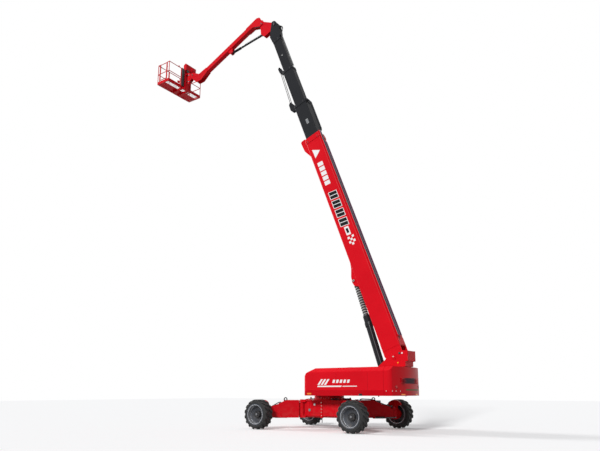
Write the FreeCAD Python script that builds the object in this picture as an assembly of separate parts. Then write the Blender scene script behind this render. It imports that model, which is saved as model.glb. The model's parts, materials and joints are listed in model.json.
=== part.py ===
"""Telescopic boom lift on four swing-out legs.

Millimetres, +X the way the boom points, +Y to the left, +Z up.
The origin lies on the ground under the slewing axis.
"""
import math
import os

import FreeCAD, Part
from FreeCAD import Placement, Rotation, Vector

# ---- clearances
PIN_PLAY = 0.1          # pin or rod in its bore, on the radius
SEAT_GAP = 0.3          # faces of two bodies that bear on each other
RUN_GAP = 5.0           # pieces that pass each other

# ---- wheels
WHEELBASE = 4320.0
TRACK = 3750.0
TYRE_R = 575.0
TYRE_W = 450.0
CARCASS_R = 540.0
BEAD_R = 376.0
LIP_R = 412.0
LIP_T = 16.0
LUGS = 16               # a side
LUG_L = 240.0
LUG_W = 52.0
LUG_TILT = 40.0
RIM_WALL = 14.0
DISC_OUT = 55.0         # wheel disc, outboard of the tyre's middle
DISC_T = 16.0
HUB_CAP_R = 130.0

# ---- knuckles and legs
KINGPIN_IN = 425.0      # wheel centre to kingpin, along the axle
KINGPIN_R = 45.0
KNUCKLE_W = 220.0
ARM_T = 40.0
STEER_ARM = 215.0
HINGE_X = 1000.0
HINGE_Y = 500.0
HINGE_PIN_R = 50.0
HINGE_R = 110.0
LEG_Z0 = 430.0
LEG_Z1 = 1120.0
LEG_BOX_Z = 975.0       # where the deep box ends
LEG_TIP_Z = 850.0
LEG_ROOT_W = 340.0
HOUSING_TOP = 760.0
EYE_HOLE_R = 38.0
EYE_R = 75.0
EYE_T = 25.0
EYE_TOP = 1230.0
EYE_AT = 0.45           # along the leg

# ---- chassis
BOX_X = 850.0
BOX_Y = 540.0
BOX_Z0 = 450.0
DECK_Z = 1125.0
EAR_T = 80.0
EAR_R = 120.0
RING_R = 600.0
RING_H = 135.0
RING_Z = 1160.0

# ---- turntable
TURN_Z = 1300.0         # underside
TURN_TOP = 2350.0
TURN_Y = 1250.0
TURN_FRONT = 440.0
TAIL_R = 3600.0         # tail swing
TAIL_CORNER = 200.0
HOOD_REAR = -3100.0
HOOD_IN = 430.0
HOOD_T = 20.0
BASE_T = 45.0
CHEEK_IN = 300.0        # boom pivot plates
CHEEK_T = 50.0
WALL_IN = 395.0         # walls beside the boom channel
WALL_T = 15.0
WEIGHT_FRONT = -2450.0
REAR_PLATE = 3680.0      # behind the boom's foot
GRILLE_Y = 700.0        # louvre in the counterweight's tail
GRILLE_Z0 = 1740.0
GRILLE_Z1 = 1940.0
SLATS = 5

# ---- boom: pivot, rest angle, and four telescoping sections
PIVOT = Vector(-3100.0, 0.0, 2740.0)
BOOM_ANGLE = 69.55
PIN_R = 60.0
BASE_ROOT = 350.0       # pivot to the base section's lower end
BASE = dict(length=10380.0, depth=780.0, width=560.0, wall=12.0)
# each fly and how far it stands out of the section before it
FLY_1 = dict(out=2020.0, length=10000.0, depth=660.0, width=460.0, wall=10.0)
FLY_2 = dict(out=2200.0, length=9900.0, depth=560.0, width=380.0, wall=9.0)
FLY_3 = dict(out=2050.0, length=9700.0, depth=460.0, width=300.0, wall=8.0)
ROPE_PIN_R = 35.0
TRAY_Y = 130.0          # hose tray and carrier, off the boom's middle
RAIL_Y = 85.0           # pipes on the last fly's back
COLLAR_L = 140.0
COLLAR_T = 16.0
PAD_L = 160.0
PAD_W = 90.0

# ---- lift cylinder
LIFT_BASE = Vector(-2640.0, 0.0, 1690.0)
LIFT_S = 3550.0         # rod pin, along the boom
LIFT_N = 550.0          # and below its centre line
LIFT_BARREL_R = 140.0
LIFT_BARREL_L = 2850.0
LIFT_BORE_R = 110.0
LIFT_ROD_R = 80.0
LIFT_EYE_R = 85.0
LIFT_LUG_IN = 125.0
LIFT_ROD_IN = 1350.0    # rod inside the barrel at rest
BELLOWS_R = 115.0
BELLOWS_ROOT_R = 98.0
BELLOWS_FOLDS = 12
BELLOWS_GAP = 200.0     # rod pin to the bellows' upper end

# ---- nose, upright and jib
NOSE_OUT = 900.0        # nose pin, past the last fly's end
NOSE_N = -180.0         # and below the boom's centre line
NOSE_IN = 115.0
NOSE_T = 25.0
UPRIGHT_IN = 80.0
UPRIGHT_T = 25.0
JIB_PIN_OUT = Vector(844.0, 0.0, 375.0)       # from the nose pin
JIB_CYL_DROP = Vector(-50.0, 0.0, -590.0)     # from the jib pin
JIB_ANGLE = 24.5
JIB_LOW = 260.0
JIB_HIGH = 530.0
JIB_W = 240.0
JIB_WALL = 8.0
JIB_START = 300.0
JIB_END = 4450.0
JIB_PLATE_T = 20.0
JIB_LUG_U = 2237.0
JIB_LUG_M = 50.0
JIB_BARREL_L = 1450.0
JIB_BARREL_R = 46.0
JIB_BORE_R = 38.0
JIB_ROD_R = 26.0
JIB_GUARD_R = 64.0       # sleeve over the rod, from its eye
JIB_GUARD_T = 5.0
JIB_LUG_IN = 68.0
JIB_ROD_IN = 1000.0
LEVEL_U = 4977.0
LEVEL_M = 874.0
NOSE_PIN_R = 35.0

# ---- platform, measured from the levelling pin and from its own corner
ROT_OUT = 379.0
ROT_R = 105.0
ROT_LOW = 381.0         # rotator below and above the levelling pin
ROT_HIGH = 219.0
PLAT_OUT = 330.0        # rotator axis to the platform's near edge
PLAT_DEPTH = 910.0
PLAT_Y = 1220.0
PLAT_DROP = 601.0
RAIL_H = 1180.0
MID_H = 620.0
TUBE_R = 19.0
TOE_H = 160.0
TOE_T = 6.0
TOE_IN = 12.0
BEAM = 40.0             # square members under the floor
PANEL_Y0 = -420.0        # sheet between floor and console
PANEL_Y1 = 365.0
FLOOR_T = 6.0
ANCHOR_Y = 700.0
ANCHOR_IN = 40.0
ANCHOR_T = 10.0
ANCHOR_HOLE_R = 14.0
GATE_IN = 210.0         # near edge to the gate
GATE_W = 520.0
GATE_POST = 30.0        # gate to the posts beside it

parts = {}
X, Y, Z = Vector(1, 0, 0), Vector(0, 1, 0), Vector(0, 0, 1)


# ---- shapes used all over
def box(x0, x1, y0, y1, z0, z1):
    return Part.makeBox(x1 - x0, y1 - y0, z1 - z0, Vector(x0, y0, z0))


def cyl(r, at, axis, length):
    return Part.makeCylinder(r, length, at, axis)


def pipe(r_out, r_in, at, axis, length):
    return cyl(r_out, at, axis, length).cut(cyl(r_in, at - axis, axis, length + 2))


def rounded(points):
    """A closed wire through (a, b) or (a, b, radius) points, its corners rounded where a radius is given."""
    edges, ends = [], []
    n = len(points)
    for i, p in enumerate(points):
        here = Vector(p[0], p[1], 0)
        radius = p[2] if len(p) > 2 else 0
        if not radius:
            ends.append((here, here))
            continue
        before = (Vector(*points[i - 1][:2], 0) - here).normalize()
        after = (Vector(*points[(i + 1) % n][:2], 0) - here).normalize()
        half = before.getAngle(after) / 2
        reach = radius / math.tan(half)
        middle = (before + after).normalize() * (radius / math.sin(half) - radius)
        ends.append((here + before * reach, here + after * reach))
        edges.append(Part.Arc(ends[-1][0], here + middle, ends[-1][1]).toShape())
    for i in range(n):
        a, b = ends[i][1], ends[(i + 1) % n][0]
        if a.distanceToPoint(b) > 1e-6:
            edges.append(Part.LineSegment(a, b).toShape())
    return Part.Wire(Part.__sortEdges__(edges))


def slab(points, lo, hi):
    """An outline in X and Y, raised from lo to hi along Z."""
    face = Part.Face(rounded(points))
    face.translate(Vector(0, 0, lo))
    return face.extrude(Vector(0, 0, hi - lo))


def side_plate(points, lo, hi):
    """An outline in X and Z, from lo to hi along Y."""
    solid = slab([(p[0], -p[1]) + tuple(p[2:]) for p in points], lo, hi)
    solid.rotate(Vector(), X, -90)
    return solid


def rib(points, lo, hi):
    """An outline in Y and Z, from lo to hi along X."""
    solid = slab(points, lo, hi)
    solid.rotate(Vector(), Vector(1, 1, 1), 120)
    return solid


def both_sides(points, inner, outer):
    return [side_plate(points, inner, outer), side_plate(points, -outer, -inner)]


def fuse(*shapes):
    flat = [s for item in shapes for s in (item if isinstance(item, list) else [item])]
    return flat[0].multiFuse(flat[1:]).removeSplitter()


def revolve_y(points):
    """A closed (y, r) outline turned about Y."""
    face = Part.Face(Part.makePolygon([Vector(r, y, 0) for y, r in points + points[:1]]))
    return face.revolve(Vector(), Y, 360)


def revolve_x(points):
    """A closed (x, r) outline turned about X."""
    face = Part.Face(Part.makePolygon([Vector(x, r, 0) for x, r in points + points[:1]]))
    return face.revolve(Vector(), X, 360)


def moved(shape, placement):
    return shape.transformed(placement.toMatrix(), True)


def flip(shape, sx, sy):
    """A copy for another corner: mirrored in X, Y or both."""
    if sx < 0:
        shape = shape.mirror(Vector(), X)
    if sy < 0:
        shape = shape.mirror(Vector(), Y)
    return shape


def rect_tube(x0, x1, y_half, z0, z1, wall, corner):
    """A square tube along X with rounded corners."""
    def outline(inset):
        r = corner - inset
        y, lo, hi = y_half - inset, z0 + inset, z1 - inset
        return [(-y, lo, r), (y, lo, r), (y, hi, r), (-y, hi, r)]
    return rib(outline(0), x0, x1).cut(rib(outline(wall), x0 - 1, x1 + 1))


# ---- frames: the boom's own (X along it, -Z its belly) and the jib's
BASE["end"] = BASE_ROOT + BASE["length"]
for inner, outer in ((FLY_1, BASE), (FLY_2, FLY_1), (FLY_3, FLY_2)):
    inner["end"] = outer["end"] + inner["out"]
ROPE_PIN_1 = Vector(FLY_1["end"] + 410, 0, -FLY_1["depth"] / 2 - 190)
ROPE_PIN_2 = Vector(FLY_2["end"] + 210, 0, -FLY_2["depth"] / 2 - 160)
NOSE_S = FLY_3["end"] + NOSE_OUT
boom_frame = Placement(PIVOT, Rotation(Y, -BOOM_ANGLE))


def on_boom(s, n):
    return boom_frame.multVec(Vector(s, 0, -n))


NOSE_PIN = on_boom(NOSE_S, NOSE_N)
JIB_PIN = NOSE_PIN + JIB_PIN_OUT
JIB_CYL_PIN = JIB_PIN + JIB_CYL_DROP
jib_frame = Placement(JIB_PIN, Rotation(Y, JIB_ANGLE))


def on_jib(u, m):
    return jib_frame.multVec(Vector(u, 0, m))


# ---- places that follow from the sizes
LEVEL_PIN = on_jib(LEVEL_U, LEVEL_M)
ROT_X = LEVEL_PIN.x + ROT_OUT
ROT_Z0 = LEVEL_PIN.z - ROT_LOW
ROT_Z1 = LEVEL_PIN.z + ROT_HIGH
PLAT_X0 = ROT_X + PLAT_OUT
PLAT_X1 = PLAT_X0 + PLAT_DEPTH
PLAT_Z = LEVEL_PIN.z - PLAT_DROP


def between(a, b):
    """A frame at a with X towards b, Y level."""
    d = b - a
    return Placement(a, Rotation(Y, -math.degrees(math.atan2(d.z, d.x))))


# ---- wheels, at the origin with the axle along Y and the outboard side +Y
def faceted_ring(points, sides):
    """A closed (y, r) outline carried round Y in flat steps, with r at the steps' corners."""
    def at(point, step):
        turn = 2 * math.pi * step / sides
        return Vector(point[1] * math.sin(turn), point[0], point[1] * math.cos(turn))
    faces = []
    for step in range(sides):
        for a, b in zip(points, points[1:] + points[:1]):
            corners = [at(a, step), at(b, step), at(b, step + 1), at(a, step + 1)]
            faces.append(Part.Face(Part.makePolygon(corners + corners[:1])))
    solid = Part.Solid(Part.makeShell(faces))
    return solid if solid.Volume > 0 else solid.reversed()


def tyre():
    w = TYRE_W / 2
    bore = BEAD_R / math.cos(math.pi / (2 * LUGS))
    carcass = faceted_ring([(-w + LIP_T, bore), (-w + LIP_T, LIP_R), (-w, LIP_R + 60), (-w + 36, CARCASS_R),
                            (w - 36, CARCASS_R), (w, LIP_R + 60), (w - LIP_T, LIP_R), (w - LIP_T, bore)],
                           2 * LUGS)
    tilt = math.radians(LUG_TILT)
    reach = LUG_L / 2 * math.sin(tilt) + LUG_W / 2 * math.cos(tilt)
    span = LUG_L / 2 * math.cos(tilt) + LUG_W / 2 * math.sin(tilt)
    top = math.sqrt(TYRE_R ** 2 - reach ** 2)
    pitch = 360.0 / LUGS
    bars = []
    for side, first in ((1, pitch / 4), (-1, -pitch / 4)):
        bar = box(-LUG_W / 2, LUG_W / 2, -LUG_L / 2, LUG_L / 2, CARCASS_R - 25, top)
        bar.rotate(Vector(), Z, -side * LUG_TILT)
        bar.translate(Vector(0, side * (w - 8 - span), 0))
        for i in range(LUGS):
            lug = bar.copy()
            lug.rotate(Vector(), Y, 180 + first + i * pitch)
            bars.append(lug)
    return fuse(carcass, bars)


def rim():
    w = TYRE_W / 2
    r1 = BEAD_R - SEAT_GAP
    r0 = r1 - RIM_WALL
    shell = revolve_y([(-w, LIP_R), (-w, r0), (DISC_OUT - 30, r0), (DISC_OUT - 70, HUB_CAP_R + 90),
                       (DISC_OUT - 70, 60), (DISC_OUT - 70 + DISC_T, 60),
                       (DISC_OUT - 70 + DISC_T, HUB_CAP_R + 86),
                       (DISC_OUT - 10, r0), (w, r0), (w, LIP_R), (w - LIP_T + 1.5, LIP_R),
                       (w - LIP_T + 1.5, r1), (-w + LIP_T - 1.5, r1), (-w + LIP_T - 1.5, LIP_R)])
    cap = revolve_y([(DISC_OUT - 70 + DISC_T, 0), (DISC_OUT - 70 + DISC_T, HUB_CAP_R),
                     (DISC_OUT + 30, HUB_CAP_R), (DISC_OUT + 45, HUB_CAP_R - 20),
                     (DISC_OUT + 45, 62), (DISC_OUT + 75, 50), (DISC_OUT + 75, 0)])
    return fuse(shell, cap)


tyre_shape = tyre()
AXLE_Z = -tyre_shape.BoundBox.ZMin
LEG_SPAN = Vector(WHEELBASE / 2 - HINGE_X, TRACK / 2 - KINGPIN_IN - HINGE_Y, 0)
LEG_L = LEG_SPAN.Length
LEG_ANGLE = math.degrees(math.atan2(LEG_SPAN.y, LEG_SPAN.x))
HUB_END = KINGPIN_IN + DISC_OUT - 70 - SEAT_GAP


def knuckle():
    """Kingpin at the origin, wheel towards +Y, heights as on the machine."""
    half = KNUCKLE_W / 2
    plate_in = half + 15
    low, high = LEG_Z0 - RUN_GAP - ARM_T, HOUSING_TOP + RUN_GAP
    fork = [(half, plate_in), (half, 0), (-half, 0), (-half, plate_in)]
    shapes = [box(-half, half, plate_in, plate_in + ARM_T, low, high + ARM_T)]
    for z in (low, high):
        shapes += [slab(fork, z, z + ARM_T), cyl(half, Vector(0, 0, z), Z, ARM_T)]
    shapes += [cyl(KINGPIN_R, Vector(0, 0, low), Z, high - low), cyl(65, Vector(0, 0, high + ARM_T), Z, 20)]
    arm = box(0, STEER_ARM, -45, 45, low, low + ARM_T).fuse(cyl(50, Vector(STEER_ARM, 0, low), Z, ARM_T))
    arm.rotate(Vector(), Z, LEG_ANGLE - 90)
    drum = revolve_y([(plate_in + ARM_T, 0), (plate_in + ARM_T, 190), (300, 190), (312, 178), (312, 150),
                      (HUB_END, 150), (HUB_END, 0)])
    drum.translate(Vector(0, 0, AXLE_Z))
    return fuse(shapes, arm, drum)


def leg():
    """Hinge at the origin, kingpin out along +X, heights as on the machine."""
    start, tip = HINGE_R + 25, LEG_L - HINGE_R - 25
    root, end = LEG_ROOT_W / 2, HINGE_R - 5
    crest = [(start, LEG_Z0, 30), (start, LEG_Z1, 30), (LEG_L * 0.42, LEG_Z1, 200)]
    box_part = side_plate(crest + [(LEG_L * 0.65, LEG_BOX_Z, 40), (LEG_L * 0.52, LEG_Z0, 20)], -root, root)
    plan = slab([(start, -root), (LEG_L * 0.66, -root + 20), (LEG_L * 0.66, root - 20), (start, root)],
                LEG_Z0, LEG_Z1)
    arm = side_plate([(LEG_L * 0.4, LEG_Z0), (LEG_L * 0.4, LEG_BOX_Z - 20),
                      (LEG_L * 0.66, LEG_BOX_Z - 20, 60),
                      (tip, LEG_TIP_Z, 40), (tip, LEG_Z0)], -end, end)
    body = box_part.common(plan).fuse(arm)
    ear_gap = EAR_T + RUN_GAP
    low, high = LEG_Z0 + ear_gap, LEG_Z1 - RUN_GAP - ear_gap
    barrel = [cyl(HINGE_R, Vector(0, 0, low), Z, high - low), box(0, start + 5, -90, 90, low, high)]
    housing = [cyl(HINGE_R, Vector(LEG_L, 0, LEG_Z0), Z, HOUSING_TOP - LEG_Z0),
               box(tip - 5, LEG_L, -95, 95, LEG_Z0, HOUSING_TOP)]
    eye_x = LEG_L * EYE_AT
    eye = side_plate([(eye_x - EYE_R, 950), (eye_x - EYE_R, EYE_TOP, EYE_R - 1),
                      (eye_x + EYE_R, EYE_TOP, EYE_R - 1),
                      (eye_x + EYE_R, 950)], -EYE_T / 2, EYE_T / 2)
    eye_hole = cyl(EYE_HOLE_R, Vector(eye_x, -EYE_T, EYE_TOP - EYE_R), Y, EYE_T * 2)
    rod_z = LEG_Z0 - RUN_GAP + 1 + 20
    barrel_end = LEG_L * 0.73
    steer = [cyl(38, Vector(LEG_L * 0.42, -STEER_ARM, rod_z), X, barrel_end - LEG_L * 0.42),
             box(LEG_L * 0.40, LEG_L * 0.46, -STEER_ARM - 38, -root + 45, rod_z - 38, rod_z + 38)]
    body = fuse(body, barrel, housing, eye, steer)
    return body.cut(cyl(HINGE_PIN_R + PIN_PLAY, Vector(0, 0, 0), Z, 2000)).cut(
        cyl(KINGPIN_R + PIN_PLAY, Vector(LEG_L, 0, 0), Z, 2000)).cut(eye_hole).cut(
        cyl(28, Vector(LEG_L * 0.47, -STEER_ARM, rod_z), X, LEG_L))


def steer_rod():
    """Lies along the leg, its eye beside the kingpin."""
    rod_z = LEG_Z0 - RUN_GAP + 1 + 20
    start = LEG_L * 0.60
    return fuse(cyl(20, Vector(start, -STEER_ARM, rod_z), X, LEG_L - 10 - start),
                cyl(28 - SEAT_GAP, Vector(start, -STEER_ARM, rod_z), X, 40),
                cyl(38, Vector(LEG_L, -STEER_ARM, rod_z - 20), Z, 40),
                cyl(24, Vector(LEG_L, -STEER_ARM, rod_z + 20), Z, 10))


def undercarriage():
    rim_shape, knuckle_shape = rim(), knuckle()
    leg_place = Placement(Vector(HINGE_X, HINGE_Y, 0), Rotation(Z, LEG_ANGLE))
    leg_shape, rod_shape = moved(leg(), leg_place), moved(steer_rod(), leg_place)
    corners = {"front_left": (1, 1), "front_right": (1, -1), "rear_left": (-1, 1), "rear_right": (-1, -1)}
    for name, (sx, sy) in corners.items():
        hub = Vector(WHEELBASE / 2, TRACK / 2, AXLE_Z)
        kingpin = Vector(WHEELBASE / 2, TRACK / 2 - KINGPIN_IN, 0)
        for node, shape, at in (("tyre", tyre_shape, hub), ("rim", rim_shape, hub),
                                ("knuckle", knuckle_shape, kingpin)):
            parts[f"{node}_{name}"] = flip(moved(shape, Placement(at, Rotation())), sx, sy)
        parts[f"leg_{name}"] = flip(leg_shape, sx, sy)
        parts[f"steer_rod_{name}"] = flip(rod_shape, sx, sy)


def chassis():
    low, high = LEG_Z0 + RUN_GAP, LEG_Z1 - RUN_GAP
    body = rib([(-BOX_Y, BOX_Z0 + 60), (-BOX_Y + 60, BOX_Z0), (BOX_Y - 60, BOX_Z0), (BOX_Y, BOX_Z0 + 60),
                (BOX_Y, DECK_Z - 25), (-BOX_Y, DECK_Z - 25)], -BOX_X, BOX_X)
    shapes = [slab([(-900, -600, 80), (900, -600, 80), (900, 600, 80), (-900, 600, 80)], DECK_Z - 25, DECK_Z),
              cyl(RING_R + 40, Vector(0, 0, DECK_Z), Z, RING_Z - DECK_Z)]
    for sx in (1, -1):
        for sy in (1, -1):
            ears = []
            for z in (low, high - EAR_T):
                ears += [box(BOX_X - 100, HINGE_X, HINGE_Y - EAR_R, HINGE_Y + EAR_R, z, z + EAR_T),
                         cyl(EAR_R, Vector(HINGE_X, HINGE_Y, z), Z, EAR_T)]
            ears.append(cyl(HINGE_PIN_R, Vector(HINGE_X, HINGE_Y, low - 10), Z, high - low + 20))
            shapes += [flip(s, sx, sy) for s in ears]
    body = fuse(body, shapes)
    for sy in (1, -1):
        recess = box(-620, 620, BOX_Y - 18, BOX_Y + 5, 560, 1010)
        body = body.cut(flip(recess, 1, sy))
    parts["chassis_frame"] = body
    ring = revolve_z([(RING_R + 25, RING_Z), (RING_R + 25, RING_Z + 35), (RING_R, RING_Z + 35),
                      (RING_R, RING_Z + RING_H), (RING_R - 110, RING_Z + RING_H), (RING_R - 110, RING_Z)])
    parts["slew_ring"] = ring


def revolve_z(points):
    """A closed (r, z) outline turned about Z."""
    face = Part.Face(Part.makePolygon([Vector(r, 0, z) for r, z in points + points[:1]]))
    return face.revolve(Vector(), Z, 360)


# ---- turntable
def cover_form(inset, rear, side_in, low):
    """The turntable's outer form: chamfered sides, sloped skirt and raked front, inset by a wall."""
    top, y, front = TURN_TOP - inset, TURN_Y - inset, TURN_FRONT - inset
    across = rib([(side_in, low), (side_in, top), (y - 150, top, 60), (y, top - 150, 60),
                  (y, TURN_Z + 200), (y - 60, low)], rear, front + 50)
    along = side_plate([(rear, low), (front - 50, low), (front, TURN_Z + 260), (front - 30, top - 330),
                        (front - 150, top - 190), (front - 510, top), (rear, top)], side_in, y + 50)
    plan = slab([(rear, side_in), (front + 1, side_in), (front + 1, y + 1, 180), (rear, y + 1)], low,
                top + 10)
    return across.common(along).common(plan)


def hood():
    """The left hood, with the eyes of its two hinges."""
    shell = cover_form(0, HOOD_REAR, HOOD_IN, TURN_Z).cut(
        cover_form(HOOD_T, HOOD_REAR - 50, HOOD_IN - 50, TURN_Z - 50))
    eyes = []
    for x in (HOOD_REAR + 500, -600):
        eyes += [cyl(18, Vector(x, HOOD_IN - 4, TURN_TOP - 18), X, 120),
                 box(x, x + 120, HOOD_IN - 4, HOOD_IN + 60, TURN_TOP - 36, TURN_TOP - 8)]
    body = fuse(shell, eyes)
    for x in (HOOD_REAR + 500, -600):
        body = body.cut(box(x - 46, x, HOOD_IN - 30, HOOD_IN + 20, TURN_TOP - 60, TURN_TOP + 5))
        body = body.cut(box(x + 120, x + 166, HOOD_IN - 30, HOOD_IN + 20, TURN_TOP - 60, TURN_TOP + 5))
    body = body.cut(cyl(RING_R + 50, Vector(0, 0, TURN_Z - 50), Z, BASE_T + 60))
    return body.cut(cyl(8 + PIN_PLAY, Vector(HOOD_REAR, HOOD_IN - 4, TURN_TOP - 18), X, 4000))


def hinge_pins():
    """Fixed halves of the left hood's hinges, on the channel wall."""
    pieces = []
    for x in (HOOD_REAR + 500, -600):
        pieces.append(cyl(8, Vector(x - 40, HOOD_IN - 4, TURN_TOP - 18), X, 200))
        for start in (x - 40, x + 120 + SEAT_GAP):
            pieces += [cyl(18, Vector(start, HOOD_IN - 4, TURN_TOP - 18), X, 40 - SEAT_GAP),
                       box(start, start + 40 - SEAT_GAP, WALL_IN, HOOD_IN - 4, TURN_TOP - 60, TURN_TOP - 18)]
    return pieces


def turntable():
    top = TURN_Z + BASE_T
    tail = -3330.0
    base = [box(tail, 200, -CHEEK_IN - CHEEK_T, CHEEK_IN + CHEEK_T, TURN_Z, top),
            box(WEIGHT_FRONT + 10, 200, -1140, 1140, TURN_Z, top),
            cyl(RING_R - 20, Vector(0, 0, RING_Z + RING_H + SEAT_GAP), Z, 10),
            cyl(RING_R + 20, Vector(0, 0, TURN_Z), Z, BASE_T)]
    step, step_z = -REAR_PLATE + 100, 2570
    cheek = [(tail, TURN_Z), (tail, TURN_TOP), (step, TURN_TOP + 20), (step, step_z - 20),
             (-REAR_PLATE, step_z), (-REAR_PLATE, 2950), (-3050, 2990, 150), (-2760, 2640, 120),
             (-2250, 2240, 200), (-1900, 1640, 100), (0, 1500), (100, top), (100, TURN_Z)]
    plates = both_sides(cheek, CHEEK_IN, CHEEK_IN + CHEEK_T)
    across = -CHEEK_IN - 5, CHEEK_IN + 5
    rear = [box(-REAR_PLATE, -REAR_PLATE + 35, *across, step_z, 2945),
            box(step, step + 30, *across, TURN_TOP + 20, step_z + 5),
            box(-REAR_PLATE, step + 30, *across, step_z, step_z + 25),
            box(60, 100, -CHEEK_IN, CHEEK_IN, top - 5, 1480)]
    walls, pins = [], hinge_pins()
    wall = box(-3100 + 60, 150, WALL_IN, WALL_IN + WALL_T, top - 5, TURN_TOP - 40)
    walls += [wall, flip(wall, 1, -1)]
    pins += [flip(p, 1, -1) for p in pins]
    boom_pin = [cyl(PIN_R, PIVOT - Y * (CHEEK_IN + CHEEK_T + 20), Y, 2 * (CHEEK_IN + CHEEK_T + 20)),
                cyl(PIN_R, LIFT_BASE - Y * (CHEEK_IN + 5), Y, 2 * (CHEEK_IN + 5))]
    for sy in (1, -1):
        for at in (PIVOT, LIFT_BASE):
            boom_pin.append(flip(cyl(105, at + Y * (CHEEK_IN + CHEEK_T - 5), Y, 20), 1, sy))
        boom_pin.append(flip(cyl(95, LIFT_BASE + Y * 125, Y, CHEEK_IN - 120), 1, sy))
    parts["turntable_frame"] = fuse(base, plates, rear, walls, pins, boom_pin)
    left = hood()
    parts["hood_left"] = left
    parts["hood_right"] = flip(left, 1, -1)
    parts["engine_block"] = fuse(box(-2250, -950, 470, 1090, top + 80, 2020),
                                 box(-1950, -1150, 600, 960, 2015, 2180),
                                 box(-2100, -1100, 540, 620, top, top + 90),
                                 box(-2100, -1100, 940, 1020, top, top + 90))
    tank = box(-2150, -500, -1100, -480, top, 1990)
    upright_edges = [e for e in tank.Edges if e.BoundBox.ZLength > 100]
    parts["fluid_tank"] = tank.makeChamfer(40, upright_edges)


def counterweight():
    """A tail casting with an arc for its rear, notched for the frame's tail."""
    low, high, front = TURN_Z, TURN_TOP, HOOD_REAR - 8
    y = TURN_Y
    half = [(y - 60, low), (y, low + 200), (y, high - 150), (y - 150, high)]
    across = rib(half + [(-p[0],) + p[1:] for p in reversed(half)], -TAIL_R - 10, front)
    arc_x = -math.sqrt(TAIL_R ** 2 - y ** 2)
    corners = slab([(front, -y), (arc_x, -y, TAIL_CORNER), (-TAIL_R - 50, -y / 2), (-TAIL_R - 50, y / 2),
                    (arc_x, y, TAIL_CORNER), (front, y)], low - 5, high + 5)
    tail = across.common(cyl(TAIL_R, Vector(0, 0, low - 5), Z, high - low + 10)).common(corners)
    y, high = TURN_Y - HOOD_T - 15, TURN_TOP - HOOD_T - 15
    half = [(y - 60, low + 5), (y, low + 200, 60), (y, high - 150, 60), (y - 150, high, 60)]
    inner = rib(half + [(-p[0],) + p[1:] for p in reversed(half)], front - 5, WEIGHT_FRONT)
    notch = CHEEK_IN + CHEEK_T + SEAT_GAP
    wall = WALL_IN + WALL_T + SEAT_GAP
    body = fuse(tail, inner).cut(box(-3400, WEIGHT_FRONT + 5, -notch, notch, low - 5, TURN_TOP + 5))
    body = body.cut(box(-3100 + 55, WEIGHT_FRONT + 5, -wall, wall, low - 5, TURN_TOP + 5))
    body = body.cut(box(-TAIL_R - 5, -TAIL_R + 60, -GRILLE_Y, GRILLE_Y, GRILLE_Z0, GRILLE_Z1))
    pitch = (GRILLE_Z1 - GRILLE_Z0) / SLATS
    for i in range(SLATS):
        z = GRILLE_Z0 + (i + 0.5) * pitch
        slat = [(-TAIL_R + 15, z - 14), (-TAIL_R + 22, z - 14), (-TAIL_R + 58, z + 10),
                (-TAIL_R + 65, z + 14),
                (-TAIL_R + 65, z + 22), (-TAIL_R + 48, z + 16)]
        body = body.fuse(side_plate(slat, -GRILLE_Y - 2, GRILLE_Y + 2))
    body = body.removeSplitter()
    for sy in (1, -1):
        hinge = box(HOOD_REAR + 440, HOOD_REAR + 680, WALL_IN, HOOD_IN + 80, TURN_TOP - 80, TURN_TOP)
        body = body.cut(flip(hinge, 1, sy))
    parts["counterweight"] = body


# ---- boom
def section(size, corner):
    return rect_tube(size["end"] - size["length"], size["end"], size["width"] / 2,
                     -size["depth"] / 2, size["depth"] / 2, size["wall"], corner)


def collar(size, start, end):
    """A stiffening band round the mouth of a section."""
    return rect_tube(start, end, size["width"] / 2 + COLLAR_T, -size["depth"] / 2 - COLLAR_T,
                     size["depth"] / 2 + COLLAR_T, COLLAR_T + 4, 60)


def pads(size, inner):
    """Wear pads inside the mouth of a section that bear on the next one."""
    end = size["end"]
    out_y, out_z = size["width"] / 2 - size["wall"], size["depth"] / 2 - size["wall"]
    in_y, in_z = inner["width"] / 2 + SEAT_GAP, inner["depth"] / 2 + SEAT_GAP
    pieces = []
    for sy in (1, -1):
        for sz in (1, -1):
            y = sorted((sy * (in_y - 50), sy * (in_y - 50 - PAD_W)))
            z = sorted((sz * in_z, sz * (out_z + 2)))
            pieces.append(box(end - PAD_L, end, y[0], y[1], z[0], z[1]))
            y = sorted((sy * in_y, sy * (out_y + 2)))
            z = sorted((sz * (in_z - 60), sz * (in_z - 60 - PAD_W)))
            pieces.append(box(end - PAD_L, end, y[0], y[1], z[0], z[1]))
    return pieces


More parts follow.
